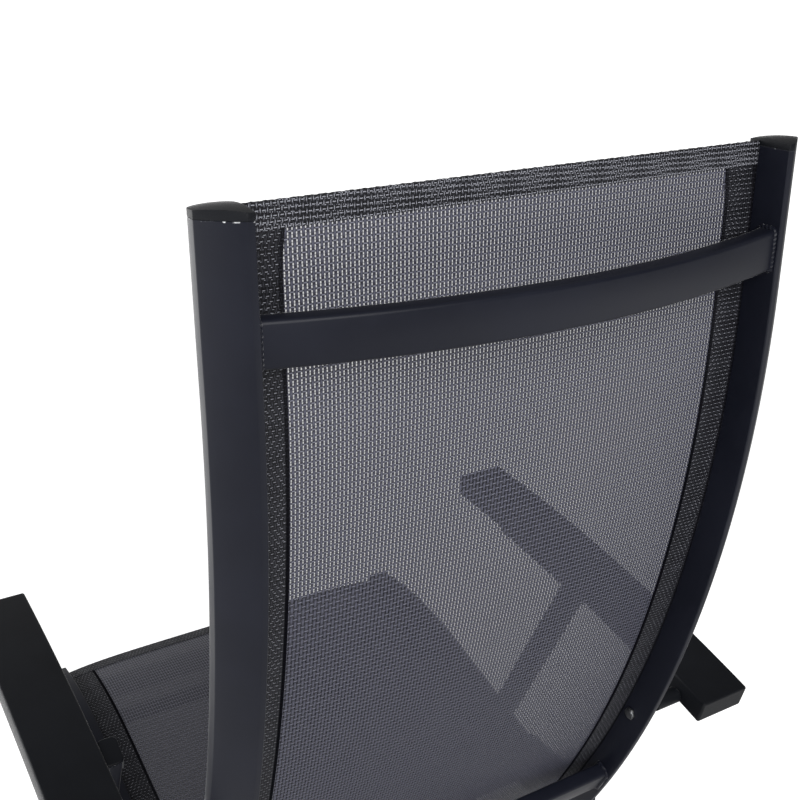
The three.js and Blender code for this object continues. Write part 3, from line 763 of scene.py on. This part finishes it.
def makeBackCap():
    shape = capShape
    outline = railOutline(False)
    cap = drawOutline("backCap_left", [backPlace(-gap, ahead, railInner + out) for out, ahead in outline])
    extrudeBy((0, 0, shape["blank"]))
    closeUp(cap)
    across = railInner + railShape["width"] * shape["outShare"]
    apex = backPlace(0, railShape["depth"] * shape["aheadShare"], across)
    apex.z += shape["top"] - shape["domeRadius"]
    deselectAll()
    bpy.ops.mesh.primitive_uv_sphere_add(segments=shape["domeSegments"], ring_count=shape["domeRings"],
                                         radius=shape["domeRadius"], location=apex)
    dome = nameIt("dome")
    settle(dome)
    cutWith(cap, dome, "INTERSECT")
    bevelPiece(cap, shape["soft"], 2, 35)
    finishPair(cap, "back", plastic, "back_cap_{}")


def flatCap(name, start, end, place, body, node):
    cap = drawOutline(name, [place(start, depth, railInner + out) for out, depth in railOutline(False)])
    extrudeBy(place(end, 0) - place(start, 0))
    closeUp(cap)
    bevelPiece(cap, capShape["flatSoft"], 3, 40)
    finishPair(cap, body, plastic, node)


def makeCaps():
    makeBackCap()
    flat, seatEnd, backEnd = capShape["flat"], seatCurve["rail"], backCurve["length"]
    flatCap("seatRearCap_left", -gap, -flat, seatPlace, "seat", "seat_rear_cap_{}")
    flatCap("seatFrontCap_left", seatEnd + gap, seatEnd + flat, seatPlace, "seat", "seat_front_cap_{}")
    flatCap("backFootCap_left", backEnd + gap, backEnd + flat, backPlace, "back", "back_foot_cap_{}")


makeCaps()
print("caps made")


# Bars between the rails, with a weld bead round each end

barShape = dict(
    height=0.031, depth=0.015, edge=0.003, inset=0.004, bead=0.0024, beadRound=0.9, lowerRise=0.095,
    frontSetback=0.034, rearSetback=0.034, seatRise=0.015)


# sectionPlace(side, x, y) is a place of the bar's section at the rail on that side
def weldBeads(name, body, sectionPlace):
    shape = barShape
    grow = 2 * shape["bead"]
    section = roundedRect(shape["depth"] + grow, shape["height"] + grow, shape["edge"] + shape["bead"])
    for label, side in sides:
        places = [sectionPlace(side, x, y) for x, y in section]
        for place in places:
            place.x = side * (railInner + shape["bead"])
        bead = drawOutline(name + "Weld_" + label, places)
        extrudeBy((-side * grow, 0, 0))
        closeUp(bead)
        bevelPiece(bead, shape["bead"] * shape["beadRound"], 4, 50)
        finishPiece(bead, body, weldCoat)


def straightBar(name, body, centre, aim, node):  # the bar's thin side points from the centre to the aim
    shape = barShape
    ahead = (aim - centre).normalized()
    up = Vector((1, 0, 0)).cross(ahead)
    reach = railInner - gap

    def sectionPlace(side, x, y):
        return centre + x * ahead + y * up + Vector((side * reach, 0, 0))

    section = roundedRect(shape["depth"], shape["height"], shape["edge"])
    bar = drawOutline(name, [sectionPlace(-1, x, y) for x, y in section])
    extrudeBy((2 * reach, 0, 0))
    closeUp(bar)
    finishPiece(bar, body, coat, node)
    weldBeads(name, body, sectionPlace)


def makeStraightBars():
    shape = barShape
    spot = backCurve["hinge"] - shape["lowerRise"]
    centre = backPlace(spot, shape["inset"] + shape["depth"] / 2)
    straightBar("backLowerBar", "back", centre, backPlace(spot, backCurve["depth"]), "back_lower_bar")
    for name, spot, node in (("seatFrontBar", seatCurve["rail"] - shape["frontSetback"], "seat_front_bar"),
                             ("seatRearBar", shape["rearSetback"], "seat_rear_bar")):
        centre = seatPlace(spot, shape["seatRise"])
        straightBar(name, "seat", centre, seatPlace(spot, seatCurve["depth"]), node)


# Bowed bar behind the back sling

bowShape = dict(drop=0.059, bow=0.033, over=0.003, steps=40)
bowShape["radius"] = (railInner ** 2 + bowShape["bow"] ** 2) / (2 * bowShape["bow"])


def bowPlace(across, rear, rise):  # rear of the bar's middle line, and above it
    height = backCurve["top"] - bowShape["drop"] - barShape["height"] / 2
    line = fromSide(barShape["inset"] + barShape["depth"] / 2 - bowShape["bow"], height)
    centre = line - Vector((0, bowShape["radius"], 0))
    angle = asin(across / bowShape["radius"])
    reach = bowShape["radius"] + rear
    return centre + Vector((reach * sin(angle), reach * cos(angle), rise))


def makeCrossbar():
    over = railInner + bowShape["over"]
    section = roundedRect(barShape["depth"], barShape["height"], barShape["edge"])
    bar = drawOutline("backCrossbar", [bowPlace(-over, x, y) for x, y in section])
    angle = 2 * asin(over / bowShape["radius"])
    spinBy(angle, bowPlace(0, -bowShape["radius"], 0), (0, 0, 1), bowShape["steps"])
    for label, side in sides:
        bpy.ops.mesh.select_all(action="SELECT")
        end = (side * (railInner - gap), 0, 0)
        bpy.ops.mesh.bisect(plane_co=end, plane_no=(side, 0, 0), clear_outer=True, use_fill=True)
    closeUp(bar)
    finishPiece(bar, "back", coat, "back_crossbar")
    weldBeads("backCrossbar", "back", lambda side, x, y: bowPlace(side * railInner, x, y))


makeCrossbar()
makeStraightBars()
print("bars made")


# Armrests: arched, hollow from below

armShape = dict(
    width=0.058, thickness=0.026, length=0.442, radius=1.91, slope=radians(15.4), edge=0.0025, wall=0.003,
    roof=0.004, setback=0.035, depthOfPivot=0.021, solidRear=0.056, solidFront=0.01, soft=0.0022,
    overrun=0.004, pocketShare=0.5, pocketRadius=0.0043)
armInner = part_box("armrest_left")[0].x
armPivot = centreOf("arm_pivot_spacer_left")


def armArc(distance, rise, across, start):
    shape = armShape
    angle = shape["slope"] - distance / shape["radius"]
    drop = Vector((0, -shape["radius"] * sin(shape["slope"]), -shape["radius"] * cos(shape["slope"])))
    reach = shape["radius"] + rise
    return start + drop + Vector((across, reach * sin(angle), reach * cos(angle)))


armRear = armPivot - armArc(armShape["setback"], -armShape["depthOfPivot"], 0, Vector())


def armPlace(distance, rise, across):  # along the arched top from the rear end, and above it
    return armArc(distance, rise, across, armRear)


def alongArm(name, outline, start, end, steps):
    piece = drawOutline(name, [armPlace(start, rise, armInner + out) for out, rise in outline])
    spinBy((end - start) / armShape["radius"], armPlace(0, -armShape["radius"], 0), (-1, 0, 0), steps)
    closeUp(piece)
    return piece


def makeArmrest():
    shape = armShape
    width, thickness, wall = shape["width"], shape["thickness"], shape["wall"]
    section = [(x + width / 2, y - thickness / 2) for x, y in roundedRect(width, thickness, shape["edge"], 5)]
    arm = alongArm("armrestBody_left", section, 0, shape["length"], 34)
    bevelPiece(arm, shape["soft"], 3, 50)
    low, high = -thickness - shape["overrun"], -shape["roof"]
    inside = [(wall, low), (width - wall, low), (width - wall, high), (wall, high)]
    cutWith(arm, alongArm("hollow", inside, shape["solidRear"], shape["length"] - shape["solidFront"], 30))
    low, high = armInner - shape["overrun"], armInner + width * shape["pocketShare"]
    cutWith(arm, addRod("pocket", armPivot, shape["pocketRadius"], low, high, 32))
    smoothBelow(arm, 30)
    finishPair(arm, "armrest_{}", plastic, "armrest_{}")


makeArmrest()
print("armrests made")


# Legs: tubes with end caps and boots, and the round bars between them

legShape = dict(
    width=0.018, edge=0.005, frontDepth=0.027, rearDepth=0.024, pastPin=0.024, clearance=0.008, boot=0.046,
    bootWall=0.003, bootSoft=0.0014, cap=0.003, capSoft=0.0012, rearSetback=0.186, barRadius=0.011,
    rodRadius=0.009, rodSoft=0.0007, bead=0.0017)
armPin = centreOf("arm_pin_left")
seatPivot = centreOf("seat_pivot_spacer_left")
legPivot = centreOf("leg_pivot_spacer_left")
rodCentre = centreOf("rear_leg_rod")


def tubeAlong(name, start, end, width, depth, edge, middle):
    heading = (end - start).normalized()
    behind = Vector((1, 0, 0)).cross(heading)
    section = roundedRect(width, depth, edge, 6)
    tube = drawOutline(name, [start + Vector((middle + x, 0, 0)) + y * behind for x, y in section])
    extrudeBy(end - start)
    closeUp(tube)
    return tube


def bootAlong(name, start, end, depth, middle):
    shape = legShape
    wall = shape["bootWall"]
    width, edge = shape["width"] + 2 * wall, shape["edge"] + wall / 2
    boot = tubeAlong(name, start, end, width, depth + 2 * wall, edge, middle)
    editAll(boot)
    bpy.ops.mesh.bisect(plane_co=(0, 0, 0), plane_no=(0, 0, 1), clear_inner=True, use_fill=True)
    closeUp(boot)
    bevelPiece(boot, shape["bootSoft"], 3, 40)
    return boot


def roundBar(name, body, reach, node):
    centre, radius, bead = centreOf(node), legShape["barRadius"], legShape["bead"]
    finishPiece(addRod(name, centre, radius, -reach, reach, 64), body, coat, node)
    for label, side in sides:
        deselectAll()
        bpy.ops.mesh.primitive_torus_add(major_radius=radius + bead / 3, minor_radius=bead, major_segments=64,
                                         minor_segments=12, location=(side * reach, centre.y, centre.z),
                                         rotation=(0, pi / 2, 0))
        ring = nameIt(name + "Weld_" + label)
        settle(ring)
        bpy.ops.object.shade_smooth()
        finishPiece(ring, body, weldCoat)


def makeFrontLegs():
    shape = legShape
    width, depth, edge = shape["width"], shape["frontDepth"], shape["edge"]
    low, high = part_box("front_leg_left")
    middle = (low.x + high.x) / 2
    heading = (legPivot - armPin).normalized()
    top = armPin - heading * shape["pastPin"]
    lowest = shape["clearance"] + depth / 2 * abs(heading.y)
    end = top + heading * (top.z - lowest) / abs(heading.z)
    leg = tubeAlong("frontLeg_left", top, end, width, depth, edge, middle)
    finishPair(leg, "front_legs", coat, "front_leg_{}")
    near, far = top - heading * gap, top - heading * shape["cap"]
    cap = tubeAlong("frontLegCap_left", near, far, width, depth, edge, middle)
    bevelPiece(cap, shape["capSoft"], 3, 40)
    finishPair(cap, "front_legs", plastic, "front_leg_cap_{}")
    reach = heading * shape["boot"]
    boot = bootAlong("frontFoot_left", end - reach, end + reach, depth, middle)
    finishPair(boot, "front_legs", plastic, "front_foot_{}")
    roundBar("frontLegBar", "front_legs", low.x - gap, "front_leg_bar")


def makeRearLegs():
    shape = legShape
    depth = shape["rearDepth"]
    low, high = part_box("rear_leg_left")
    middle = (low.x + high.x) / 2
    foot = Vector((0, hinge.y + shape["rearSetback"], shape["clearance"] + depth / 2))
    heading = (rodCentre - foot).normalized()
    top = rodCentre - heading * (shape["rodRadius"] + gap)
    leg = tubeAlong("rearLeg_left", foot, top, shape["width"], depth, shape["edge"], middle)
    finishPair(leg, "rear_legs", coat, "rear_leg_{}")
    reach = heading * shape["boot"]
    boot = bootAlong("rearFoot_left", foot + reach, foot - reach, depth, middle)
    finishPair(boot, "rear_legs", plastic, "rear_foot_{}")
    roundBar("rearLegBar", "rear_legs", low.x - gap, "rear_leg_bar")
    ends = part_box("rear_leg_rod")
    rod = addRod("rearLegRod", rodCentre, shape["rodRadius"], ends[0].x, ends[1].x, 64)
    bevelPiece(rod, shape["rodSoft"], 3, 40)
    finishPiece(rod, "rear_legs", coat, "rear_leg_rod")


makeFrontLegs()
makeRearLegs()
print("legs made")


# Hinge plates and the hooks under the seat that hold the rear legs' rod, both drawn from the side

plateShape = dict(radius=0.016, hold=0.045, soft=0.0009, steps=20)
hookShape = dict(
    clearance=0.0009, wall=0.005, setback=0.057, soft=0.0007, lip=-30, heel=130, heelStart=110,
    noseStart=12, railSteps=8)


def flatPoint(place):
    return Vector((-place.y, place.z))


def flatPlate(name, node, section):  # as thick as its node is wide
    low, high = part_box(node)
    plate = drawOutline(name, [Vector((low.x, -y, z)) for y, z in section])
    extrudeBy((high.x - low.x, 0, 0))
    closeUp(plate)
    return plate


def makeHingePlate():
    radius, steps = plateShape["radius"], plateShape["steps"]
    near, end = flatPoint(hinge), flatPoint(seatPlace(plateShape["hold"], seatCurve["depth"] / 2))
    tilt = (end - near).angle_signed(Vector((1, 0))) * 180 / pi
    section = arc(end, radius, tilt - 90, tilt + 90, steps)
    section += arc(near, radius, tilt + 90, tilt + 270, steps)
    plate = flatPlate("hingePlate_left", "hinge_plate_left", section)
    bevelPiece(plate, plateShape["soft"], 3, 40)
    finishPair(plate, "seat", coat, "hinge_plate_{}")


def makeSaddle():
    shape = hookShape
    rod = flatPoint(rodCentre)
    radius = legShape["rodRadius"]
    inside = radius + shape["clearance"]
    outside = inside + shape["wall"]
    onRail = seatCurve["rail"] - shape["setback"]
    railLine = []
    for i in range(shape["railSteps"] + 1):
        across = 2 * i / shape["railSteps"] - 1
        railLine.append(flatPoint(seatPlace(onRail + 2 * radius * across, -gap)))
    section = arc(rod, inside, shape["lip"], shape["heel"], 24)
    section += arc(rod, outside, shape["heel"], shape["heelStart"], 3) + railLine
    section.append(railLine[-1] - Vector((0, shape["wall"])))
    section += arc(rod, outside, shape["noseStart"], shape["lip"], 6)
    hook = flatPlate("legSaddle_left", "leg_saddle_left", section)
    bevelPiece(hook, shape["soft"], 2, 40)
    finishPair(hook, "seat", plastic, "leg_saddle_{}")


makeHingePlate()
makeSaddle()
print("hinge plates and saddles made")


# Bolts: domed head with a hexagon socket outboard, lock nut inboard

boltShape = dict(
    shank=0.004, head=0.0075, headHeight=0.0032, rimShare=0.35, socket=0.0029, socketDepth=0.0018,
    nut=0.0065, nutHeight=0.0034, collar=0.0052, collarHeight=0.0009, soft=0.00035, spacerSoft=0.0008,
    domeSteps=8)


def nutAndShank(name, centre, nutEnd, shankEnd):
    shape = boltShape
    nutFace = nutEnd + shape["nutHeight"] - gap
    shank = addRod(name, centre, shape["shank"], nutEnd, shankEnd, 32)
    nut = addRod("nut", centre, shape["nut"], nutEnd + shape["collarHeight"], nutFace, 6)
    bevelPiece(nut, shape["soft"])
    collar = addRod("collar", centre, shape["collar"], nutEnd + gap, nutFace - gap, 32)
    bevelPiece(collar, shape["soft"])
    return joinPieces(shank, nut, collar)


def makeBolt(name, body, centre, node):
    shape = boltShape
    low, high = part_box(node.format("left"))
    base = high.x - shape["headHeight"]
    rim = base + shape["headHeight"] * shape["rimShare"]
    profile = [(base, 0), (base, shape["head"])]
    for i in range(shape["domeSteps"] + 1):
        angle = pi / 2 * i / shape["domeSteps"]
        profile.append((rim + (high.x - rim) * sin(angle), shape["head"] * cos(angle)))
    head = turnProfile("head", centre, profile)
    depth = shape["socketDepth"]
    cutWith(head, addRod("socket", centre, shape["socket"], high.x - depth, high.x + depth, 6))
    bolt = nutAndShank(name, centre, low.x, base + gap)
    smoothBelow(joinPieces(bolt, head), 30)
    finishPair(bolt, body, zinc, node)


def makeSpacer(name, body, node):
    low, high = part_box(node.format("left"))
    sleeve = addRod(name, centreOf(node.format("left")), (high.z - low.z) / 2, low.x, high.x)
    bevelPiece(sleeve, boltShape["spacerSoft"], 3, 40)
    finishPair(sleeve, body, plastic, node)


pinShape = dict(roller=0.005, head=0.0065, soft=0.0006)


def makeArmPin():
    low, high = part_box("arm_pin_left")
    legLow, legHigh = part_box("front_leg_left")
    pin = addRod("armPin_left", armPin, boltShape["shank"], low.x + gap, high.x - gap)
    roller = addRod("roller", armPin, pinShape["roller"], legHigh.x + gap, high.x)
    bevelPiece(roller, pinShape["soft"])
    head = addRod("head", armPin, pinShape["head"], low.x, legLow.x - gap)
    bevelPiece(head, pinShape["soft"], 3)
    finishPair(joinPieces(pin, roller, head), "front_legs", zinc, "arm_pin_{}")


def makeFasteners():
    makeBolt("backPivotBolt_left", "back_pivots", hinge, "back_pivot_bolt_{}")
    makeBolt("seatPivotBolt_left", "front_legs", seatPivot, "seat_pivot_bolt_{}")
    makeBolt("legPivotBolt_left", "front_legs", legPivot, "leg_pivot_bolt_{}")
    low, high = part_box("arm_pivot_bolt_left")
    bolt = nutAndShank("armPivotBolt_left", armPivot, low.x, high.x)
    finishPair(bolt, "arm_pivot_{}", zinc, "arm_pivot_bolt_{}")
    makeSpacer("seatPivotSpacer_left", "front_legs", "seat_pivot_spacer_{}")
    makeSpacer("legPivotSpacer_left", "front_legs", "leg_pivot_spacer_{}")
    makeSpacer("armPivotSpacer_left", "arm_pivot_{}", "arm_pivot_spacer_{}")
    makeArmPin()


makeFasteners()
print("bolts, pins and spacers made")


# Racks: merged and softened copies of the CAD ones

# faces that meet below the flat angle become one
rackShape = dict(soft=0.0006, flatAngle=1)


def makeRack(side):
    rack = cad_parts["arm_rack_" + side].copy()
    rack.data = rack.data.copy()
    rack.name = rack.data.name = "armRack_" + side
    bpy.context.collection.objects.link(rack)
    editAll(rack)
    bpy.ops.mesh.remove_doubles(threshold=sameSpot)
    bpy.ops.mesh.dissolve_limited(angle_limit=radians(rackShape["flatAngle"]))
    objectMode()
    bevelPiece(rack, rackShape["soft"], 2, 40)
    finishPiece(rack, "armrest_" + side, plastic, "arm_rack_" + side)


makeRack("left")
makeRack("right")
print("racks made")


# Slings: open mesh cloth with doubled hems, stretched between the rails

slingShape = dict(
    depth=railShape["slotFromRear"], grip=0.0035, aboveRail=0.003, beforeHinge=0.028, columns=24, smooth=40)
hemShape = dict(
    side=hemLook["railSide"], widenLength=0.05, overlap=0.0004, thickness=0.0019, endExtra=0.0006,
    columns=4, endRows=280, shortWave=1050, longWave=370)
backSling = dict(
    name="backSling", body="back", node="back_sling", cloth=backCloth, endHem=endHemCloth,
    rails=["backRail_left", "backRail_right"], start=-slingShape["aboveRail"],
    end=backCurve["hinge"] - slingShape["beforeHinge"], widen=0.006, firstHem=0.017, lastHem=0.019,
    thickness=0.0005, ripple=0.0003, rows=96)
seatSling = dict(
    name="seatSling", body="seat", node="seat_sling", cloth=seatCloth, endHem=seatEndHemCloth,
    rails=["seatRail_left", "seatRail_right"], start=railShape["slingEnd"], end=seatCurve["rail"] - gap,
    widen=0.0, firstHem=0.02, lastHem=0.016, thickness=0.0011, ripple=0.0002, rows=48, frontLift=0.005,
    liftLength=0.13)


def backSpot(x, v):
    return backPlace(v, slingShape["depth"], x)


def seatSpot(x, v):
    s = seatSling
    end = max(0.0, 1 - (seatCurve["rail"] - v) / s["liftLength"])
    lift = s["frontLift"] * end * (2 - end) * (1 - min(1.0, abs(x) / railInner) ** 6)
    return seatPlace(v, slingShape["depth"] + lift, x)


# Lays a grid by spot(a, b): the place, its place on the flat cloth, and how far it is from the stitched edge
def layCloth(name, columns, rows, spot, thickness):
    deselectAll()
    bpy.ops.mesh.primitive_grid_add(x_subdivisions=columns, y_subdivisions=rows, size=1, calc_uvs=False)
    cloth = nameIt(name)
    flat, fromEdge = {}, {}
    for vertex in cloth.data.vertices:
        place, flat[vertex.index], fromEdge[vertex.index] = spot(vertex.co.x + 0.5, 0.5 - vertex.co.y)
        vertex.co = place
    cloth.data.uv_layers.new(name="cloth")
    cloth.data.uv_layers.new(name="hem")
    for loop in cloth.data.loops:
        across, along = flat[loop.vertex_index]
        cloth.data.uv_layers["cloth"].data[loop.index].uv = (across, along)
        cloth.data.uv_layers["hem"].data[loop.index].uv = (fromEdge[loop.vertex_index], along)
    wall = cloth.modifiers.new("clothThickness", "SOLIDIFY")
    wall.thickness = thickness
    wall.offset = 0
    applyAll(cloth)
    smoothBelow(cloth, slingShape["smooth"])
    return cloth


def makeSling(s, place):
    start, end, overlap = s["start"], s["end"], hemShape["overlap"]
    reach = railInner + slingShape["grip"]

    def meshSpot(a, b):
        x, v = reach * (2 * a - 1), start + b * (end - start)
        return place(x, v), (x, v), 0

    def sideSpot(side):
        def spot(a, b):
            v = start + overlap + b * (end - start - 2 * overlap)
            widening = max(0.0, 1 - (v - start) / hemShape["widenLength"]) ** 2
            inner = railInner - hemShape["side"] - s["widen"] * widening
            x = side * (inner + a * (reach - inner))
            return place(x, v), (x, v), a * (reach - inner)
        return spot

    def endSpot(edge, width):  # width is negative where the hem runs back from the edge
        def spot(a, b):
            x = (reach - 2 * overlap) * (2 * b - 1)
            uneven = s["ripple"] * sin(x * hemShape["shortWave"]) * sin(x * hemShape["longWave"])
            outer = edge - overlap * (1 if width > 0 else -1) + uneven
            v = edge + width + a * (outer - edge - width)
            return place(x, v), (x, v), a * abs(outer - edge - width)
        return spot

    cloth = layCloth(s["name"] + "Mesh", slingShape["columns"], s["rows"], meshSpot, s["thickness"])
    finishPiece(cloth, s["body"], s["cloth"], s["node"])
    hems = []

    def addHem(name, rows, spot, thickness, finish):
        hems.append(layCloth(s["name"] + name, hemShape["columns"], rows, spot, thickness))
        finishPiece(hems[-1], s["body"], finish)

    thick = hemShape["thickness"]
    for label, side in sides:
        addHem("Hem_" + label, s["rows"], sideSpot(side), thick, sideHemCloth)
    thick += hemShape["endExtra"]
    addHem("FirstHem", hemShape["endRows"], endSpot(start, s["firstHem"]), thick, s["endHem"])
    addHem("LastHem", hemShape["endRows"], endSpot(end, -s["lastHem"]), thick, s["endHem"])
    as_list(s["rails"])


def makeSlings():
    # the cloth's curve has another radius than the rail's rear line or lower line
    makeSling(backSling, backSpot)
    makeSling(seatSling, seatSpot)


makeSlings()
print("slings made")


# Floor and world: white to the camera, while reflections see a studio that is brighter on some sides

floorLook = dict(
    size=120.0, colour=(0.8, 0.8, 0.8, 1), rough=0.9, nearGlow=0.68, farGlow=0.97, near=1.2, far=5.0,
    brightWay=(0.5, -0.45, 0), dimAt=-0.1, brightAt=1.9, dim=0.08, bright=2.3, glintPlace=(-2.0, 2.7, 0),
    glintReach=2.6, glint=2.4)
worldLook = dict(brightWay=(0.7, -0.5, 0), turn=0.7, dim=0.14, bright=0.75, sky=0.3, skyFrom=0.3, skyTo=0.9)
white = (1, 1, 1, 1)


def lightPath(tree):  # one for what the camera sees directly, and one for what mirrors see
    path = addNode(tree, "ShaderNodeLightPath").outputs
    return most(path["Is Camera Ray"], path["Is Transmission Ray"]), path["Is Glossy Ray"]


def makeFloor():
    look = floorLook
    deselectAll()
    bpy.ops.mesh.primitive_plane_add(size=look["size"], location=(0, 0, 0))
    floor = nameIt("floor")
    material, tree, shader = newMaterial("paleFloor")
    place = objectPlace(tree)
    seen, mirrored = lightPath(tree)
    # painted reflection: the floor glows only in mirrors, brighter towards one side and round one spot,
    # though it is no lamp
    lean = vectorCalc("DOT_PRODUCT", place, look["brightWay"])
    mirror = ramp(lean, look["dimAt"], look["brightAt"], look["dim"], look["bright"])
    fromGlint = vectorCalc("DISTANCE", place, look["glintPlace"])
    mirror = plus(mirror, ramp(fromGlint, look["glintReach"], 0.0, 0.0, look["glint"]))
    away = vectorCalc("LENGTH", place)
    glow = ramp(away, look["near"], look["far"], look["nearGlow"], look["farGlow"])
    strength = times(most(seen, times(mirrored, mirror)), glow)
    fillInputs(shader, {"Base Color": look["colour"], "Roughness": look["rough"],
                        "Specular IOR Level": 0.0, "Emission Color": white,
                        "Emission Strength": strength})
    floor.data.materials.append(material)


def makeWorld():
    look = worldLook
    world = bpy.data.worlds.new("studio")
    world.use_nodes = True
    bpy.context.scene.world = world
    tree = world.node_tree
    seen = lightPath(tree)[0]
    heading = addNode(tree, "ShaderNodeTexCoord").outputs["Generated"]
    lean = vectorCalc("DOT_PRODUCT", heading, look["brightWay"])
    around = ramp(lean, -look["turn"], look["turn"], look["dim"], look["bright"])
    overhead = ramp(axisOf(heading, "Z"), look["skyFrom"], look["skyTo"])
    strength = blend(seen, blend(overhead, around, look["sky"]), 1.0)
    fillInputs(tree.nodes["Background"], {"Color": white, "Strength": strength})


# Softboxes and the camera, which stands where the photograph was taken

softboxes = {"rearSoftbox": {"place": (0.9, 3.1, 2.6), "aim": (0, 0, 0.7), "size": 2.4, "watts": 120},
             "sideSoftbox": {"place": (3.0, -0.6, 1.2), "aim": (0, 0, 0.8), "size": 1.6, "watts": 22},
             "frontSoftbox": {"place": (2.4, -2.6, 0.9), "aim": (0, 0, 0.6), "size": 1.6, "watts": 26}}
photoView = dict(
    across=0.4623, behindRails=0.5783, height=1.2582, lens=52.01, sensor=36, tilt=radians(67.7955),
    turn=radians(149.221))


def addSoftbox(name, box):
    lamp = bpy.data.lights.new(name, "AREA")
    lamp.shape = "DISK"
    lamp.size = box["size"]
    lamp.energy = box["watts"]
    thing = bpy.data.objects.new(name, lamp)
    bpy.context.collection.objects.link(thing)
    thing.location = box["place"]
    thing.rotation_euler = (Vector(box["aim"]) - Vector(box["place"])).to_track_quat("-Z", "Y").to_euler()


def addCamera():
    view = photoView
    lens = bpy.data.cameras.new("photoCamera")
    lens.lens = view["lens"]
    lens.sensor_width = view["sensor"]
    camera = bpy.data.objects.new("photoCamera", lens)
    bpy.context.collection.objects.link(camera)
    camera.location = (view["across"], yOrigin + view["behindRails"], view["height"])
    camera.rotation_euler = (view["tilt"], 0, view["turn"])
    bpy.context.scene.camera = camera


makeFloor()
makeWorld()
for name, box in softboxes.items():
    addSoftbox(name, box)
addCamera()
bpy.context.scene.view_settings.view_transform = "Standard"
print("stage and camera set")
